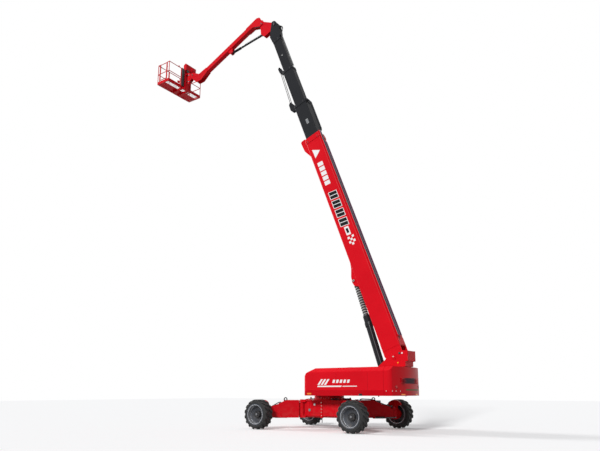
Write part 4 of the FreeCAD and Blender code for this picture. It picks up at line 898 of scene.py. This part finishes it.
def turntable_fittings():
    """Pin keepers and marks on the cheeks, hoses and seals in the channel, the swivel and the slewing motor."""
    centre = pin("boom_luff")
    for name, side in SIDES:
        face = facing((centre.x, side * 0.365, centre.z), Y * side, Z)
        settle("boom_pin_keeper_" + name, keeper(0.078, 0.012, 0.14, 0.022, 0.010, 0.5), red, "turntable", face)
        bolt_ring("boom_pin_bolts_" + name, "turntable", face @ at(0, 0, 0.012), 0.052, 6, 0.016, red)
        grease = [disc(0.026, 0.018), rod((0, 0, 0), (0, 0, 0.03), 0.006, 10)]
        settle("boom_pin_grease_" + name, grease, zinc, "turntable", face)
        for label, x, z, radius, finish in (("lock", -3.35, 2.86, 0.045, black_plastic),
                                            ("lamp", -3.46, 2.86, 0.030, film_white),
                                            ("tag", -3.28, 2.51, 0.022, yellow_plastic)):
            settle(f"cheek_{label}_{name}", disc(radius, 0.014), finish, "turntable",
                   touch("turntable_frame", Vector((x, side * 2.0, z)), Y * -side, -0.002))
        seal = rod((-2.2, side * 0.405, 2.31), (0.10, side * 0.405, 2.31), 0.008, 10)
        settle("channel_seal_" + name, seal, black_plastic, "turntable")
    lines = [hose([(-0.35, y, 1.36), (-0.8, y, 1.365), (-1.6, y - 0.01, 1.365), (-2.1, y, 1.37),
                   (-2.45, y + 0.02, 1.40), (-2.75, y + 0.03, 1.62), (-2.98, y, 1.95 + 0.02 * i), (-3.22, y, 2.30),
                   (-3.40, y + 0.02, 2.48), (-3.42, y + 0.03, 2.62)], 0.014)
             for i, y in enumerate((-0.20, -0.235, -0.27))]
    settle("channel_hoses", lines, hose_black, "turntable")
    clamps = [block((x, -0.295, DECK_Z), (x + 0.04, -0.175, 1.392), 0.004) for x in (-0.7, -1.3, -1.9)]
    settle("channel_clamps", clamps, dark_steel, "turntable")
    swivel = lathe([(0.0, 0.12), (0.02, 0.13), (0.10, 0.13), (0.12, 0.115), (0.20, 0.115), (0.22, 0.10), (0.22, 0.0)])
    settle("hose_swivel", swivel, cast, "turntable", at(0, 0, DECK_Z - 0.01))
    fittings = [(rod((0.09, 0, z), (0.165, 0, z), 0.016, 12), turned("Z", QUARTER * i / 2))
                for i, z in enumerate((0.05, 0.10) * 4)]
    settle("swivel_fittings", fittings, bright, "turntable", at(0, 0, DECK_Z))
    motor = lathe([(0.0, 0.0), (0.0, 0.09), (0.15, 0.09), (0.16, 0.075), (0.26, 0.075), (0.27, 0.06), (0.27, 0.0)])
    settle("slew_motor", motor, cast, "turntable", at(-0.25, -0.14, DECK_Z))


# ---- boom
SECTIONS = {"boom": (10.60, 0.28, 0.39), "fly_1": (12.75, 0.23, 0.33),    # mouth, half width, half depth
            "fly_2": (14.95, 0.19, 0.28), "fly_3": (17.0, 0.15, 0.23)}
COLLAR = 0.016
TRAY_Y, TRAY_TOP = 0.13, 0.435
ROPE_Y = 0.036
RAIL_Y = 0.085
RAIL_LOW, RAIL_HIGH = span("back_rail", BOOM)
RAIL_Z = (RAIL_LOW.z + RAIL_HIGH.z) / 2


def boom_graphics():
    """Plain white wedge and bars, black bars on white, and a block of checks, with no lettering."""
    white = [[(10.04, -0.21), (9.80, 0.15), (9.56, -0.19)], slant(5.83, -0.08, 0.13, 0.03, 0.40)]
    white += [slant(9.28 - i * 0.255, -0.20, 0.07, 0.03, 0.20) for i in range(5)]
    black = [slant(5.74, -0.03, 0.08, 0.02, 0.22)]
    for i in range(4):
        white.append(slant(7.68 - i * 0.46, -0.21, 0.21, 0.08, 0.38))
        black += [slant(7.68 - i * 0.46 - shift, -0.185, 0.185, 0.07, 0.15) for shift in (0.03, 0.21)]
        for j in range(i % 2, 3, 2):
            white.append(slant(5.34 - i * 0.105, -0.09 + j * 0.105, 0.01 + j * 0.105, 0.0, 0.10))
    for name, side in SIDES:
        place = BOOM @ at(0, side * SECTIONS["boom"][1], 0) @ turned("X")
        film("boom_marks_white_" + name, "boom", place, side, white, film_white, high=0.0013)
        film("boom_marks_black_" + name, "boom", place, side, black, film_black, 0.0012, 0.0022)


def tray():
    """The hose tray on the boom's back, its lines and straps, and a dark purple sheet beside it, painted shade where
    the boom's red back lies in shadow.
    """
    z = TRAY_TOP + 0.012
    lines = [hose([(0.55, y * 0.2, 0.34), (0.62, y * 0.8, 0.43), (0.80, y, z), (3.0, y, z), (7.0, y, z), (10.6, y, z)],
                  0.0105, 24) for y in (TRAY_Y - 0.0115, TRAY_Y + 0.0115)]
    settle("tray_hoses", lines, hose_black, "boom", BOOM)
    z = TRAY_TOP + 0.006
    edges = [rod((0.75, y, z), (10.78, y, z), 0.007, 8) for y in (TRAY_Y - 0.075, TRAY_Y + 0.075)]
    settle("tray_edge", edges, plate_grey, "boom", BOOM)
    # The cover's purple tint is painted shade; its grey is its own.
    cover = block((0.72, TRAY_Y - 0.078, TRAY_TOP - 0.0395), (10.785, TRAY_Y + 0.0795, TRAY_TOP + 0.002), 0.002, 1)
    settle("tray_cover", cover, tray_grey, "boom", BOOM)
    strap = block((-0.02, TRAY_Y - 0.082, TRAY_TOP - 0.038), (0.02, TRAY_Y + 0.084, TRAY_TOP + 0.017), 0.006)
    settle("tray_straps", in_rows(dark_steel, strap, 9, 1, 1.15), dark_steel, "boom", BOOM @ at(5.7, 0, 0))
    # A thin dark sheet over the red back beside the tray: painted shade, not a part of its own.
    settle("back_sheet", block((0.75, -0.265, 0.389), (10.30, TRAY_Y - 0.082, 0.392), 0.0), back_purple, "boom", BOOM)


def pad_screws(body, end, half_y, half_z):
    """Adjusting screws over the wear pads at a section's mouth."""
    for name, side in SIDES:
        for label, edge, turn in (("back", 1, 0.0), ("belly", -1, math.pi)):
            flank = at(end - 0.07, side * half_y, edge * (half_z - 0.14)) @ turned("X", -QUARTER * side)
            crown = at(end - 0.07, side * (half_y - 0.14), edge * half_z) @ turned("X", turn)
            for kind, place in (("screws", flank), ("caps", crown)):
                bolt_rows(f"pad_{kind}_{body}_{name}_{label}", body, BOOM @ place, 2, 1, 0.07, 0.1, 0.020, dark_steel)


def boom_fittings():
    boom_graphics()
    tray()
    for body, (mouth, half_y, half_z) in SECTIONS.items():
        pad_screws(body, mouth, half_y + COLLAR, half_z + COLLAR)
    for name, side in SIDES:
        lug_pin = facing(BOOM @ Vector((3.55, side * 0.188, -0.55)), Y * side, Z)
        settle("lift_pin_cap_" + name, disc(0.055, 0.012), dark_steel, "boom", lug_pin)
        bolt_ring("lift_pin_bolts_" + name, "boom", lug_pin @ at(0, 0, 0.012), 0.034, 4, 0.014)
        for body, x, z, long, wide in (("fly_1", 11.57, 0.05, 0.26, 0.13), ("fly_3", 15.87, 0.0, 0.07, 0.07)):
            spot = BOOM @ at(x, side * SECTIONS[body][1], z) @ turned("X", -QUARTER * side)
            settle(f"plate_{body}_{name}", plate(rounded(long, wide, 0.02), -0.001, 0.003), plate_grey, body, spot)
            bolt_rows(f"plate_{body}_rivets_{name}", body, spot @ at(0, 0, 0.003), 2, 2, long * 0.8, wide * 0.72, 0.010)


def rope():
    """Two twisted ropes between the sheave pins under the first two flies."""
    points = points_of("extension_rope", BOOM)
    ends = [pick(p.x for p in points) for pick in (min, max)]
    rings = [[p for p in points if abs(p.x - end) < 0.02] for end in ends]
    a, b = (sum(ring, Vector()) / len(ring) for ring in rings)
    length = (b - a).length
    strands = grown(TWIST, rope_grey, Strands=6, Length=length, Lay=0.16, Core_Radius=0.0088, Strand_Radius=0.0068)
    core = rod((0, 0, 0), (0, 0, length), 0.0085, 8)
    place = BOOM @ facing(a, b - a, Y)
    offsets = [at(0, y, 0) for y in (ROPE_Y, -ROPE_Y)]
    pair = [(mesh, offset) for mesh in (strands, core) for offset in offsets]
    piece = settle("extension_ropes", pair, rope_grey, None, place)
    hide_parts("extension_rope")
    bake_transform(piece)
    socket = lathe([(0, 0.0), (0, 0.018), (0.008, 0.023), (0.036, 0.023), (0.044, 0.018), (0.044, 0.0)], 16)
    flip = place @ at(0, 0, length) @ turned("X", math.pi)
    for label, end, body in (("low", place, "fly_1"), ("high", flip, "fly_2")):
        settle("rope_sockets_" + label, [(socket, end @ offset) for offset in offsets], dark_steel, body)


def drawn_pipe(y, radius):
    """A straight pipe along the last section's back, in rings so that it can be drawn out."""
    length, steps = RAIL_HIGH.x - RAIL_LOW.x, 24
    outline = [(0.0, 0.0)] + [(length * i / steps, radius) for i in range(steps + 1)] + [(length, 0.0)]
    return lathe(outline, 12), at(RAIL_LOW.x, RAIL_Y + y, RAIL_Z) @ turned("Y")


def rail():
    """Pipes along the last section's back: a dark one at each side and pale ones between them."""
    dark = settle("back_pipes", [drawn_pipe(y, 0.016) for y in (-0.035, 0.035)], hose_black, None, BOOM)
    pale = settle("back_lines", [drawn_pipe(y, 0.010) for y in (-0.010, 0.012)], pale_line, None, BOOM)
    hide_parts("back_rail")
    for piece in (dark, pale):
        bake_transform(piece)


def nose_hoses():
    """Hoses that leave the back pipes, loop out behind the nose and enter it; the nose pin's keepers."""
    x = RAIL_HIGH.x
    lines = [hose([(x - 0.02, RAIL_Y + y, RAIL_Z), (x + 0.06, RAIL_Y + y * 0.9, RAIL_Z - 0.005),
                   (17.14, RAIL_Y + y * 0.8, 0.335 + out * 0.5), (17.24, RAIL_Y + y * 0.7, 0.440 + out),
                   (17.37, RAIL_Y * 0.9 + y * 0.6, 0.500 + out), (17.53, RAIL_Y * 0.7 + y * 0.5, 0.475 + out * 0.7),
                   (17.66, RAIL_Y * 0.5 + y * 0.4, 0.385)], 0.014)
             for y, out in ((-0.035, 0.0), (0.0, 0.03), (0.035, 0.055))]
    settle("nose_hoses", lines, hose_black, "fly_3", BOOM)
    for name, side in SIDES:
        face = facing(pin("upright_level") + Y * side * 0.165, Y * side, Z)
        bar = keeper(0.042, 0.006, 0.09, 0.018, 0.013, low=0.004)
        settle("nose_pin_keeper_" + name, bar, dark_steel, "upright", face)


def guide_rollers():
    """Rollers in the hose carrier's arms."""
    low, high = span("hose_guide", BOOM)
    half = [(0.012, 0.019), (0.035, 0.028), (0.045, 0.026), (0.045, 0.0)]
    groove = lathe([(-height, radius) for height, radius in half[::-1]] + half, 20)
    for i, x in enumerate((low.x + 0.10, (low.x + high.x) / 2, high.x - 0.28)):
        settle(f"hose_roller_{i}", [groove], black_plastic, "fly_1", BOOM @ at(x, TRAY_Y, high.z - 0.028) @ turned("X"))


# ---- lift cylinder
def bellows():
    """Folded rubber sleeve from the barrel's head to the rod's flange, over a pale tube; clamps, pipe and ports."""
    low, high = span("lift_bellows", LIFT)
    folds, around, root, crest = 13, 8, 0.094, high.z
    steps = folds * around
    outline = []
    for i in range(steps + 1):
        wave = 0.5 - 0.5 * math.cos(2 * math.pi * i / around)
        outline.append((low.x + (high.x - low.x) * i / steps, root + (crest - root) * wave ** 0.9))
    outline += [(x, 0.088) for x in (high.x, (low.x + high.x) / 2, low.x)]
    spots = [low.x + 0.005 + (high.x - low.x - 0.010) * k / steps for k in range(steps + 1)]
    valleys = [(x, 0.099) for x in spots] + [(x, 0.0958) for x in spots[::-1]]
    place = LIFT @ turned("Y")
    sleeve = settle("rod_bellows", lathe(outline, 40, closed=True), bellows_rubber, None, place)
    under = settle("bellows_valleys", lathe(valleys, 40, closed=True), pale_line, None, place)
    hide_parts("lift_bellows")
    for piece in (sleeve, under):
        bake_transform(piece)
    for label, x, body in (("low", low.x + 0.016, "lift_barrel"), ("high", high.x - 0.016, "lift_rod")):
        settle("bellows_clamp_" + label, tube(-0.015, 0.015, crest - 0.008, crest + 0.004, 40), dark_steel, body,
               LIFT @ at(x, 0, 0) @ turned("Y"))
    pipe = hose([(0.30, 0.12, 0.08), (0.34, 0.165, 0.09), (0.45, 0.17, 0.09), (1.4, 0.17, 0.09), (2.35, 0.17, 0.09),
                 (2.47, 0.165, 0.09), (2.50, 0.12, 0.08)], 0.011, 16)
    settle("lift_pipe", pipe, dark_steel, "lift_barrel", LIFT)
    ports = [block((0.26, 0.112, 0.06), (0.36, 0.165, 0.12), 0.006),
             block((2.43, 0.120, 0.06), (2.55, 0.180, 0.12), 0.006)]
    settle("lift_ports", ports, dark_steel, "lift_barrel", LIFT)


# ---- upright, jib and its cylinder
def jib_fittings():
    """Hoses along the jib's right side, pin keepers, seams and the cylinder's pipe."""
    lines = [hose([(0.25, -0.150, z - 0.05), (0.45, -0.146, z), (1.2, -0.138, z), (2.6, -0.136, z), (4.0, -0.138, z),
                   (4.35, -0.150, z + 0.02), (4.62, -0.155, z + 0.18), (4.80, -0.150, z + 0.34)], 0.011, 16)
             for z in (0.345, 0.385, 0.425)]
    settle("jib_hoses", lines, hose_black, "jib", JIB)
    clip = block((-0.018, -0.158, 0.320), (0.018, -0.120, 0.445), 0.005)
    settle("jib_clips", in_rows(dark_steel, clip, 5, 1, 0.75), dark_steel, "jib", JIB @ at(2.45, 0, 0))
    for name, side in SIDES:
        ribs = [rod((0.35, side * 0.118, z), (4.4, side * 0.118, z), 0.006, 8) for z in (0.285, 0.505)]
        settle("jib_seams_" + name, ribs, red, "jib", JIB)
        for joint, body, y, label in (("jib_luff", "upright", 0.155, "jib_pin"),
                                      ("platform_level", "level_bracket", 0.165, "level_pin")):
            settle(f"{label}_keeper_{name}", keeper(0.030, 0.006, 0.075, 0.016, 0.008, 0.6), dark_steel, body,
                   facing(pin(joint) + Y * side * y, Y * side, Z))
        settle("jib_lug_cap_" + name, disc(0.030, 0.008), dark_steel, "jib",
               facing(JIB @ Vector((2.237, side * 0.105, 0.050)), Y * side, Z))
    settle("jib_stop_bar", rod((0.48, 0.05, 0.215), (0.16, 0.05, 0.01), 0.012, 12), dark_steel, "jib", JIB)
    ports = [block((0.12, -0.03, 0.040), (0.19, 0.03, 0.075), 0.005),
             block((1.17, -0.026, 0.040), (1.23, 0.026, 0.072), 0.005)]
    settle("jib_ports", ports, dark_steel, "jib_barrel", JIB_CYLINDER)
    pipe = [(0.155, 0.07), (0.16, 0.086), (0.25, 0.084), (0.70, 0.082), (1.12, 0.084), (1.195, 0.086), (1.20, 0.068)]
    settle("jib_pipe", hose([(x, 0, z) for x, z in pipe], 0.007, 16), dark_steel, "jib_barrel", JIB_CYLINDER)


# ---- platform
PLAT_LOW, PLAT_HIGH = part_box("platform_frame")
FLOOR_LOW, FLOOR_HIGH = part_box("platform_floor")


def platform_mesh():
    """Open steel mesh in a rim, with a closed red plate under its outer half."""
    size, centre = FLOOR_HIGH - FLOOR_LOW, (FLOOR_LOW + FLOOR_HIGH) / 2
    x, y, pitch, rim = size.x / 2, size.y / 2, 0.045, 0.012
    across, down = int(size.x / pitch), int(size.y / pitch)
    bar = block((-0.0016, -y, -0.0030), (0.0016, y, 0.0030), 0.0)
    tie = block((-x, -0.0016, -0.0024), (x, 0.0016, 0.0024), 0.0)
    parts = [in_rows(galvanised, bar, across, 1, size.x / across),
             in_rows(galvanised, tie, 1, down, 0.1, size.y / down)]
    for low, high in (((-x, y - rim), (x, y)), ((x - rim, -y), (x, y)),
                      ((-x, -y), (x, rim - y)), ((-x, -y), (rim - x, y))):
        parts.append(block((*low, -0.003), (*high, 0.003), 0.0))
    piece = settle("floor_mesh", parts, galvanised, "platform", at(*centre))
    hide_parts("platform_floor")
    closed = block((-0.09, -y + 0.02, -0.0034), (x - 0.02, y - 0.02, 0.0026), 0.001, 1)
    settle("floor_strip", closed, red, "platform", at(*centre))


def platform_console():
    """Control desk: sloped panel, two joysticks under guards, switches, stop button, foot switch and papers box."""
    low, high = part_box("console")
    mid = (low.y + high.y) / 2
    desk = at(high.x - 0.068, 0, high.z - 0.046) @ turned("Y", math.atan2(0.09, 0.13))
    panel = plate(rounded(0.115, high.y - low.y - 0.08, 0.012), 0.0, 0.004)
    settle("panel", panel, black_plastic, "platform", desk @ at(0, mid, 0.0015))
    boot = lathe([(0.0, 0.034), (0.006, 0.036), (0.012, 0.028), (0.018, 0.030), (0.024, 0.021), (0.030, 0.022),
                  (0.038, 0.012), (0.038, 0.0)], 24)
    stick = lathe([(0.03, 0.008), (0.07, 0.008), (0.078, 0.016), (0.105, 0.019), (0.122, 0.014), (0.127, 0.0)], 20)
    guard = hose([(-0.05, -0.06, 0.0), (-0.05, -0.06, 0.07), (-0.045, -0.03, 0.10), (-0.045, 0.03, 0.10),
                  (-0.05, 0.06, 0.07), (-0.05, 0.06, 0.0)], 0.007)
    for name, shape, z, finish in (("joystick_boots", boot, 0.005, bellows_rubber),
                                   ("joysticks", stick, 0.005, black_plastic),
                                   ("joystick_guards", guard, 0.0, red)):
        settle(name, [(shape, at(0, y, z)) for y in (low.y + 0.16, high.y - 0.16)], finish, "platform", desk)
    toggle = join(disc(0.009, 0.005, 0.001, 12), rod((0, 0, 0.004), (0.006, 0, 0.024), 0.003, 8))
    settle("toggles", in_rows(bright, toggle, 2, 6, 0.045, 0.042), bright, "platform", desk @ at(0, mid - 0.02, 0.0055))
    stop = desk @ at(0.0, high.y - 0.07, 0.005)
    collar = lathe([(0, 0.0), (0, 0.026), (0.006, 0.026), (0.008, 0.016), (0.012, 0.014), (0.012, 0)], 24)
    settle("stop_collar", collar, yellow_plastic, "platform", stop)
    button = lathe([(0.011, 0.0), (0.011, 0.012), (0.018, 0.020), (0.026, 0.020), (0.031, 0.014), (0.032, 0.0)], 24)
    settle("stop_button", button, red_plastic, "platform", stop)
    lamps = in_rows(green_plastic, disc(0.008, 0.008, 0.003, 16), 1, 3, 0.05, 0.03)
    settle("panel_lamps", lamps, green_plastic, "platform", desk @ at(0.035, low.y + 0.30, 0.0055))
    papers = block((low.x - 0.045, low.y + 0.10, low.z + 0.05), (low.x + 0.001, low.y + 0.36, low.z + 0.26), 0.008)
    settle("papers_box", papers, red, "platform")
    pedal = [block((-0.09, -0.11, 0.0), (0.09, 0.11, 0.045), 0.012),
             (block((-0.07, -0.12, 0.055), (0.09, 0.12, 0.085), 0.010), turned("Y", 0.1))]
    x, z = PLAT_LOW.x, FLOOR_HIGH.z
    settle("foot_switch", pedal, red_plastic, "platform", at(x + 0.30, -0.45, z))
    lead = [(0.22, -0.45, z + 0.03), (0.14, -0.43, z + 0.02), (0.06, -0.44, 18.20), (0.045, -0.42, 18.7),
            (0.045, -0.40, 19.1), (0.03, -0.38, 19.29)]
    settle("foot_switch_lead", hose([(x + out, y, height) for out, y, height in lead], 0.007), hose_black, "platform")


def platform_fittings():
    """Hoses, turn valve, horn, beacon, socket, latch, plate and grips round the platform."""
    platform_mesh()
    platform_console()
    pivot, front, inner = pin("platform_rotate").x, PLAT_LOW.x - 0.045, PLAT_LOW.x
    rotator = touch("platform_support", Vector((pivot + 0.07, 0, 21.0)), -Z).translation.z
    bolt_ring("rotator_bolts", "platform", at(pivot, 0, rotator), 0.070, 8, 0.018, dark_steel)
    for label, z in (("low", 18.40), ("high", 18.80)):
        band = tube(-0.02, 0.02, 0.1052, 0.120, 40)
        settle("rotator_band_" + label, band, dark_steel, "level_bracket", at(pivot, 0, z))
    lines = [hose([(front - 0.01, y, 18.16), (front - 0.02, y, 18.24), (front - 0.022, y + 0.01, 18.60),
                   (front - 0.022, y - 0.01, 19.00), (front - 0.015, y, 19.20), (front + 0.02, y, 19.27)], 0.019, 12)
             for y in (0.17, 0.215, 0.26, 0.305)]
    settle("panel_hoses", lines, hose_black, "platform")
    valve = [block((front - 0.075, -0.16, 18.50), (front, -0.04, 18.70), 0.008),
             (rod((0, 0, 0), (0, 0, 0.09), 0.022, 16), at(front - 0.04, -0.10, 18.70))]
    settle("turn_valve", valve, dark_steel, "platform")
    horn = lathe([(0.0, 0.030), (0.015, 0.050), (0.045, 0.082), (0.060, 0.085), (0.060, 0.060), (0.03, 0.0)], 32)
    settle("horn", horn, black_plastic, "platform", facing((front + 0.005, -0.09, 19.20), -X, Z))
    lead = hose([(front - 0.02, -0.13, 19.16), (front - 0.03, -0.22, 19.08), (front - 0.03, -0.29, 18.98),
                 (front, -0.31, 18.90), (front, -0.31, 18.60)], 0.016, 12)
    settle("horn_lead", lead, hose_black, "platform")
    beacon = [block((-0.03, -0.03, -0.01), (0.03, 0.03, 0.055), 0.006),
              rod((0, -0.03, 0.02), (0, -0.13, -0.02), 0.010, 12)]
    settle("rail_beacon", beacon, red_plastic, "platform", at(inner + 0.019, 0.50, PLAT_HIGH.z - 0.005))
    x, y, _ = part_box("gate")[1]
    lever = hose([(x - 0.05, y - 0.019, 18.95), (x - 0.02, y - 0.019, 18.95), (x, y - 0.019, 18.93)], 0.008)
    settle("gate_latch", lever, dark_steel, "gate")
    settle("power_socket", block((inner + 0.02, 0.40, 18.30), (inner + 0.075, 0.52, 18.42), 0.006), red, "platform")
    settle("power_socket_lid", disc(0.034, 0.014, 0.004), plate_grey, "platform",
           facing((inner + 0.074, 0.46, 18.36), X, Z))
    settle("rating_plate", plate(rounded(0.30, 0.16, 0.02), -0.0015, 0.0015), plate_grey, "platform",
           facing((PLAT_HIGH.x - 0.010, -0.70, 18.16), X, Y))
    grip = lathe([(-0.06, 0.0192), (-0.055, 0.024), (0.055, 0.024), (0.06, 0.0192)], 20)
    x, z = PLAT_HIGH.x - 0.019, PLAT_HIGH.z - 0.019
    grips = [(grip, at(x, y, z) @ turned("X")) for y in (-1.0, -0.55, 0.55, 1.0)]
    settle("rail_grips", grips, black_plastic, "platform")


# ---- studio
SKY, SKY_COLOUR = 0.34, (0.96, 0.97, 1.0, 1)
SUNS = {"key": (2.4, (-0.10, 0.90, 0.55)), "front": (1.7, (1.0, 0.15, 0.35))}
FLOOR_PALE = (0.9, 0.9, 0.9)
FLOOR_BOUNCE = (0.35, 0.35, 0.35)
FLOOR_LIFT = 0.12


def aim(item, toward, axis):
    """An object turned so that one of its axes points somewhere."""
    item.rotation_mode = "QUATERNION"
    item.rotation_quaternion = Vector(toward).to_track_quat(axis, "Y")


def studio():
    """A pale floor and a white background to the eye, with softer light from both."""
    bpy.ops.mesh.primitive_plane_add(size=160)
    floor = bpy.context.object
    floor.name = "floor"
    paving = Finish("floor_pale", FLOOR_PALE, 0.9, Specular_IOR_Level=0.0, Emission_Strength=FLOOR_LIFT)
    seen = paving.seen_directly()
    paving.set(Base_Color=paving.mix(seen, FLOOR_BOUNCE, FLOOR_PALE),
               Emission_Color=paving.mix(seen, (0.0, 0.0, 0.0), (1.0, 1.0, 1.0)))
    floor.data.materials.append(paving.material)
    world = bpy.data.worlds.new("studio")
    bpy.context.scene.world = world
    world.use_nodes = True
    sky = Tree(world.node_tree)
    lit = sky.tree.nodes["Background"]
    sky.feed(lit, {"Color": SKY_COLOUR, "Strength": SKY})
    backdrop = sky.add("ShaderNodeBackground", {"Color": (1, 1, 1, 1)})
    both = sky.add("ShaderNodeMixShader", {0: sky.seen_directly(), 1: lit.outputs[0], 2: backdrop})
    sky.feed(sky.tree.nodes["World Output"], {0: both})
    for name, (energy, toward) in SUNS.items():
        sun = bpy.data.lights.new(name, "SUN")
        sun.energy = energy
        sun.angle = math.radians(12)
        aim(thing(name, sun), toward, "Z")


# ---- camera: low, behind the machine's left side
EYE = Vector((-12.793, 20.284, 1.459))
EYE_YAW = math.radians(-55.149)
EYE_PITCH = math.radians(13.146)


def camera():
    data = bpy.data.cameras.new("camera")
    data.sensor_width = 36.0
    data.lens = 34.35
    data.shift_x, data.shift_y = -0.004, 0.0537
    data.clip_end = 500
    view = thing("camera", data)
    view.location = EYE
    aim(view, (*polar(math.cos(EYE_PITCH), EYE_YAW), math.sin(EYE_PITCH)), "-Z")
    bpy.context.scene.camera = view


dress_nodes()
wheels()
undercarriage()
hoods()
tail()
turntable_fittings()
boom_fittings()
rope()
rail()
nose_hoses()
guide_rollers()
bellows()
jib_fittings()
platform_fittings()
studio()
camera()
bpy.context.scene.view_settings.view_transform = "Standard"
